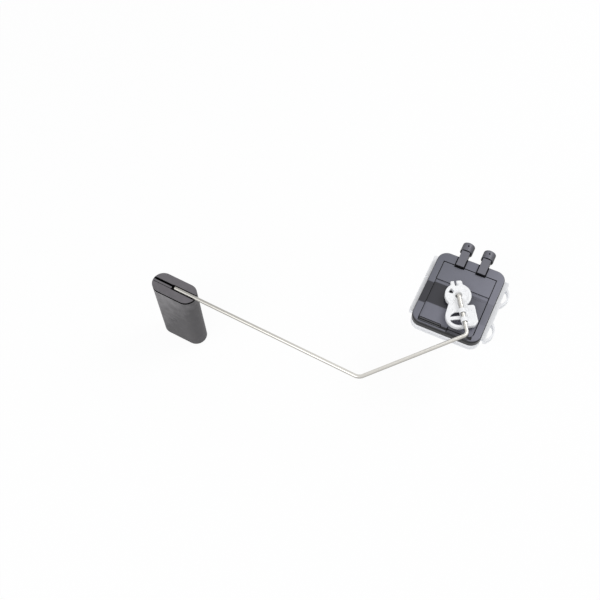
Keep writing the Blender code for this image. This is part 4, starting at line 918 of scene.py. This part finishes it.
def buildWire():
    w = wire
    deselectAll()
    bpy.ops.mesh.primitive_circle_add(vertices=w["sides"], radius=w["radius"] - w["footChamfer"],
                                      fill_type="NOTHING", location=(0, 0, w["foot"]))
    body = bpy.context.object
    applyPlace()
    ways = [Vector((0, 0, 1))] + wireWays
    corners = [Vector((0, 0, wireHeight))]
    for way, run in zip(wireWays, w["runs"]):
        corners.append(corners[-1] + way * run)
    editMode()
    selectAll()
    drawStraight((0, 0, w["footChamfer"]))
    grow = w["radius"] / (w["radius"] - w["footChamfer"])
    bpy.ops.transform.resize(value=(grow, grow, 1))
    place = Vector((0, 0, w["foot"] + w["footChamfer"]))
    for i, (radius, steps) in enumerate(zip(w["bends"], w["bendSteps"])):
        before, after = ways[i], ways[i + 1]
        start = corners[i] - before * radius * math.tan(before.angle(after) / 2)
        drawStraight(start - place)
        place = drawBend(start, before, after, radius, steps)
    drawStraight(corners[-1] - ways[-1] * w["tip"] - place)
    drawTip(ways[-1])
    objectMode()
    mapAlongWire(body)
    capWire(body)
    finishPiece(body, "wireArm", wireSteel, "arm", ["float_arm"])


def drawTip(way):  # the wire's end is rounded step by step
    w = wire
    size = w["radius"]
    for i in range(1, w["tipSteps"] + 1):
        turn = math.pi / 2 * i / w["tipSteps"]
        last = math.pi / 2 * (i - 1) / w["tipSteps"]
        drawStraight(way * w["tip"] * (math.sin(turn) - math.sin(last)))
        after = w["radius"] - w["tip"] * (1 - math.cos(turn))
        bpy.ops.transform.resize(value=(after / size, after / size, after / size))
        size = after


def capWire(body):
    pick(body)
    editMode()
    bpy.ops.mesh.select_all(action="DESELECT")
    bpy.ops.mesh.select_non_manifold()
    bpy.ops.mesh.edge_face_add()
    turnOutward()


buildWire()


# Float, along (x) and across (y) the wire's end

foam = dict(length=30.68, width=13.8, top=14.1, bottom=-41.39, edge=0.4, topEdge=0.2, endSteps=32, groove=0.9,
            grooveTop=0.25, grooveHeight=1.7, wireInside=15.3, seatPastTip=1.7, seatHalf=1.8, seatFloor=12.45,
            seatLap=0.3, slot=1.5, slotHalf=1.55, slotDepth=6.5, slotEnd=1.2, notchDepth=0.18, fineLine=0.3,
            fineLineDepth=0.4, fineLineStart=1.0, mark=(-1.55, -16.8), markRadius=2.6, markLine=0.35,
            markDepth=0.12, soft=0.1)


def floatOutline(inset):
    end, radius, steps = (foam["length"] - foam["width"]) / 2, foam["width"] / 2 - inset, foam["endSteps"]
    return arcPoints((end, 0), radius, -90, 90, steps) + arcPoints((-end, 0), radius, 90, 270, steps)


def cutFloatMark(body):  # a plain ring on the side
    f = foam
    side = -f["width"] / 2
    x, z = f["mark"]
    radius = f["markRadius"]
    ring = addRod("mark", radius, (x, side - past, z), (x, side + f["markDepth"], z))
    cut(ring, addRod("markInside", radius - f["markLine"], (x, side - 2 * past, z), (x, side + past, z)))
    cut(body, ring)


def buildFloat():
    f = foam
    top, above, left = f["top"], f["top"] + past, -f["length"] / 2
    body = addPrism("float", floatOutline(0), f["bottom"], top)
    body.data.materials.append(floatFoam)
    for height, edge in ((f["bottom"], f["edge"]), (top, f["topEdge"])):
        bevelEdges(body, edge, levelAt(height), segments=3)
    grooveTop = top - f["grooveTop"]
    groove = addPrism("groove", floatOutline(-past), grooveTop - f["grooveHeight"], grooveTop)
    cut(groove, addPrism("grooveInside", floatOutline(f["groove"]), f["bottom"], top))
    seatStart = f["length"] / 2 - f["wireInside"] - f["seatPastTip"]
    half, seatHalf, seat = f["slotHalf"], f["seatHalf"], seatStart + f["seatLap"]
    cut(body, groove,
        addBlock("wireSeat", (seatStart, -seatHalf, f["seatFloor"]), (past - left, seatHalf, above)),
        addBlock("deepSlot", (f["slotEnd"] + left, half - f["slot"], top - f["slotDepth"]),
                 (seat, half, above + lap)),
        addBlock("slotNotch", (left - past, half - f["slot"] + lap, top - f["notchDepth"]),
                 (f["slotEnd"] + left + lap, half - lap, above)),
        addBlock("fineLine", (f["fineLineStart"] + left, -half, top - f["fineLineDepth"]),
                 (seat, f["fineLine"] - half, above + 2 * lap)), material=grooveShade)
    cutFloatMark(body)
    soften(body, f["soft"])
    centre = wireWays[-1] * (f["length"] / 2 - f["wireInside"])
    for run, way in zip(wire["runs"], wireWays):
        centre += run * way
    finishPiece(body, "foamFloat", floatFoam, "arm", ["float"],
                turn=math.radians(wire["turns"][-1]) + math.pi, shift=centre)


buildFloat()


# Camera, lamps and floor

camera = dict(place=(0.03778, -0.27967, 0.47982), right=(0.9010, 0.4333, -0.0211), up=(-0.3673, 0.7878, 0.4945),
              back=(0.2308, -0.4378, 0.8690), lens=52.59, sensor=36, nearest=0.01)


def addCamera():
    lens = bpy.data.cameras.new("camera")
    lens.lens = camera["lens"]
    lens.sensor_width = camera["sensor"]
    lens.clip_start = camera["nearest"]
    eye = bpy.data.objects.new("camera", lens)
    turn = Matrix([camera["right"], camera["up"], camera["back"]]).transposed()
    eye.matrix_world = Matrix.Translation(camera["place"]) @ turn.to_4x4()
    bpy.context.scene.collection.objects.link(eye)
    bpy.context.scene.camera = eye


lamps = dict(key=dict(place=(0.35, 0.5, 0.7), size=0.5, power=3.3),
             fill=dict(place=(-0.25, -0.7, 0.55), size=0.8, power=2.8), target=(-0.05, -0.02, 0), sky=0.54)


def addLamp(name, place, size, power):
    light = bpy.data.lights.new(name, "AREA")
    light.shape = "DISK"
    light.size = size
    light.energy = power
    lamp = bpy.data.objects.new(name, light)
    lamp.location = place
    lamp.rotation_euler = (Vector(place) - Vector(lamps["target"])).to_track_quat("Z", "Y").to_euler()
    bpy.context.scene.collection.objects.link(lamp)


def addSeenShare(tree):  # 1 for what the eye, the metal and the glass see, 0 for the light on the pieces
    path = addNode(tree, "LightPath", (-800, 300)).outputs
    seen = addMath(tree, "MAXIMUM", (-600, 300), path["Is Camera Ray"], path["Is Glossy Ray"])
    return addMath(tree, "MAXIMUM", (-450, 300), seen, path["Is Transmission Ray"])


def addSky():  # white to the eye, softer as a lamp
    world = bpy.data.worlds.new("studio")
    bpy.context.scene.world = world
    world.use_nodes = True
    tree = world.node_tree
    feeds = {"Value": addSeenShare(tree), "To Min": lamps["sky"], "To Max": 1.0}
    level = addNode(tree, "MapRange", (-250, 300), feeds).outputs["Result"]
    feed(tree, tree.nodes["Background"], {"Strength": level, "Color": (1, 1, 1, 1)})


floor = dict(height=-0.0425, size=6.0, color=(0.93, 0.935, 0.945), rough=0.9, glow=0.94)


def addFloor():
    deselectAll()
    bpy.ops.mesh.primitive_plane_add(size=floor["size"], location=(0, 0, floor["height"]))
    plane = bpy.context.object
    plane.name = "floor"
    applyPlace()
    material = bpy.data.materials.new("paleFloor")
    material.use_nodes = True
    tree = material.node_tree
    shader = tree.nodes["Principled BSDF"]
    feed(tree, shader, {"Base Color": (*floor["color"], 1), "Roughness": floor["rough"],
                        "Specular IOR Level": 0.0})
    glow = addNode(tree, "Emission", (0, -300))
    share = addMath(tree, "MULTIPLY", (-300, 300), addSeenShare(tree), floor["glow"])
    both = addNode(tree, "MixShader", (300, 0),
                   {"Fac": share, 1: shader.outputs[0], 2: glow.outputs[0]})
    feed(tree, tree.nodes["Material Output"], {"Surface": both.outputs[0]})
    plane.data.materials.append(material)


addCamera()
for name in ("key", "fill"):
    addLamp(name + "Lamp", **lamps[name])
addSky()
addFloor()
bpy.context.scene.view_settings.view_transform = "Standard"
print("camera, lamps and floor made")

# Finishes of the solids that stay as they are
finishes = dict(
    perimeter_seal=sealRubber, shaft_seal=sealRubber, pin_seal_left=sealRubber, pin_seal_right=sealRubber,
    pivot_bush=bushBrass, terminal_pin_left=bushBrass, terminal_pin_right=bushBrass, lead_left=bushBrass,
    lead_right=bushBrass, resistor_card=cardCeramic, resistor_track=trackFilm, comb_spacer=spacerFilm,
    contact_comb=softIron, magnet_carrier=blackPlastic, sensing_magnet=groundMagnet)
for name, material in finishes.items():
    nodes[name].data.materials.clear()
    nodes[name].data.materials.append(material)
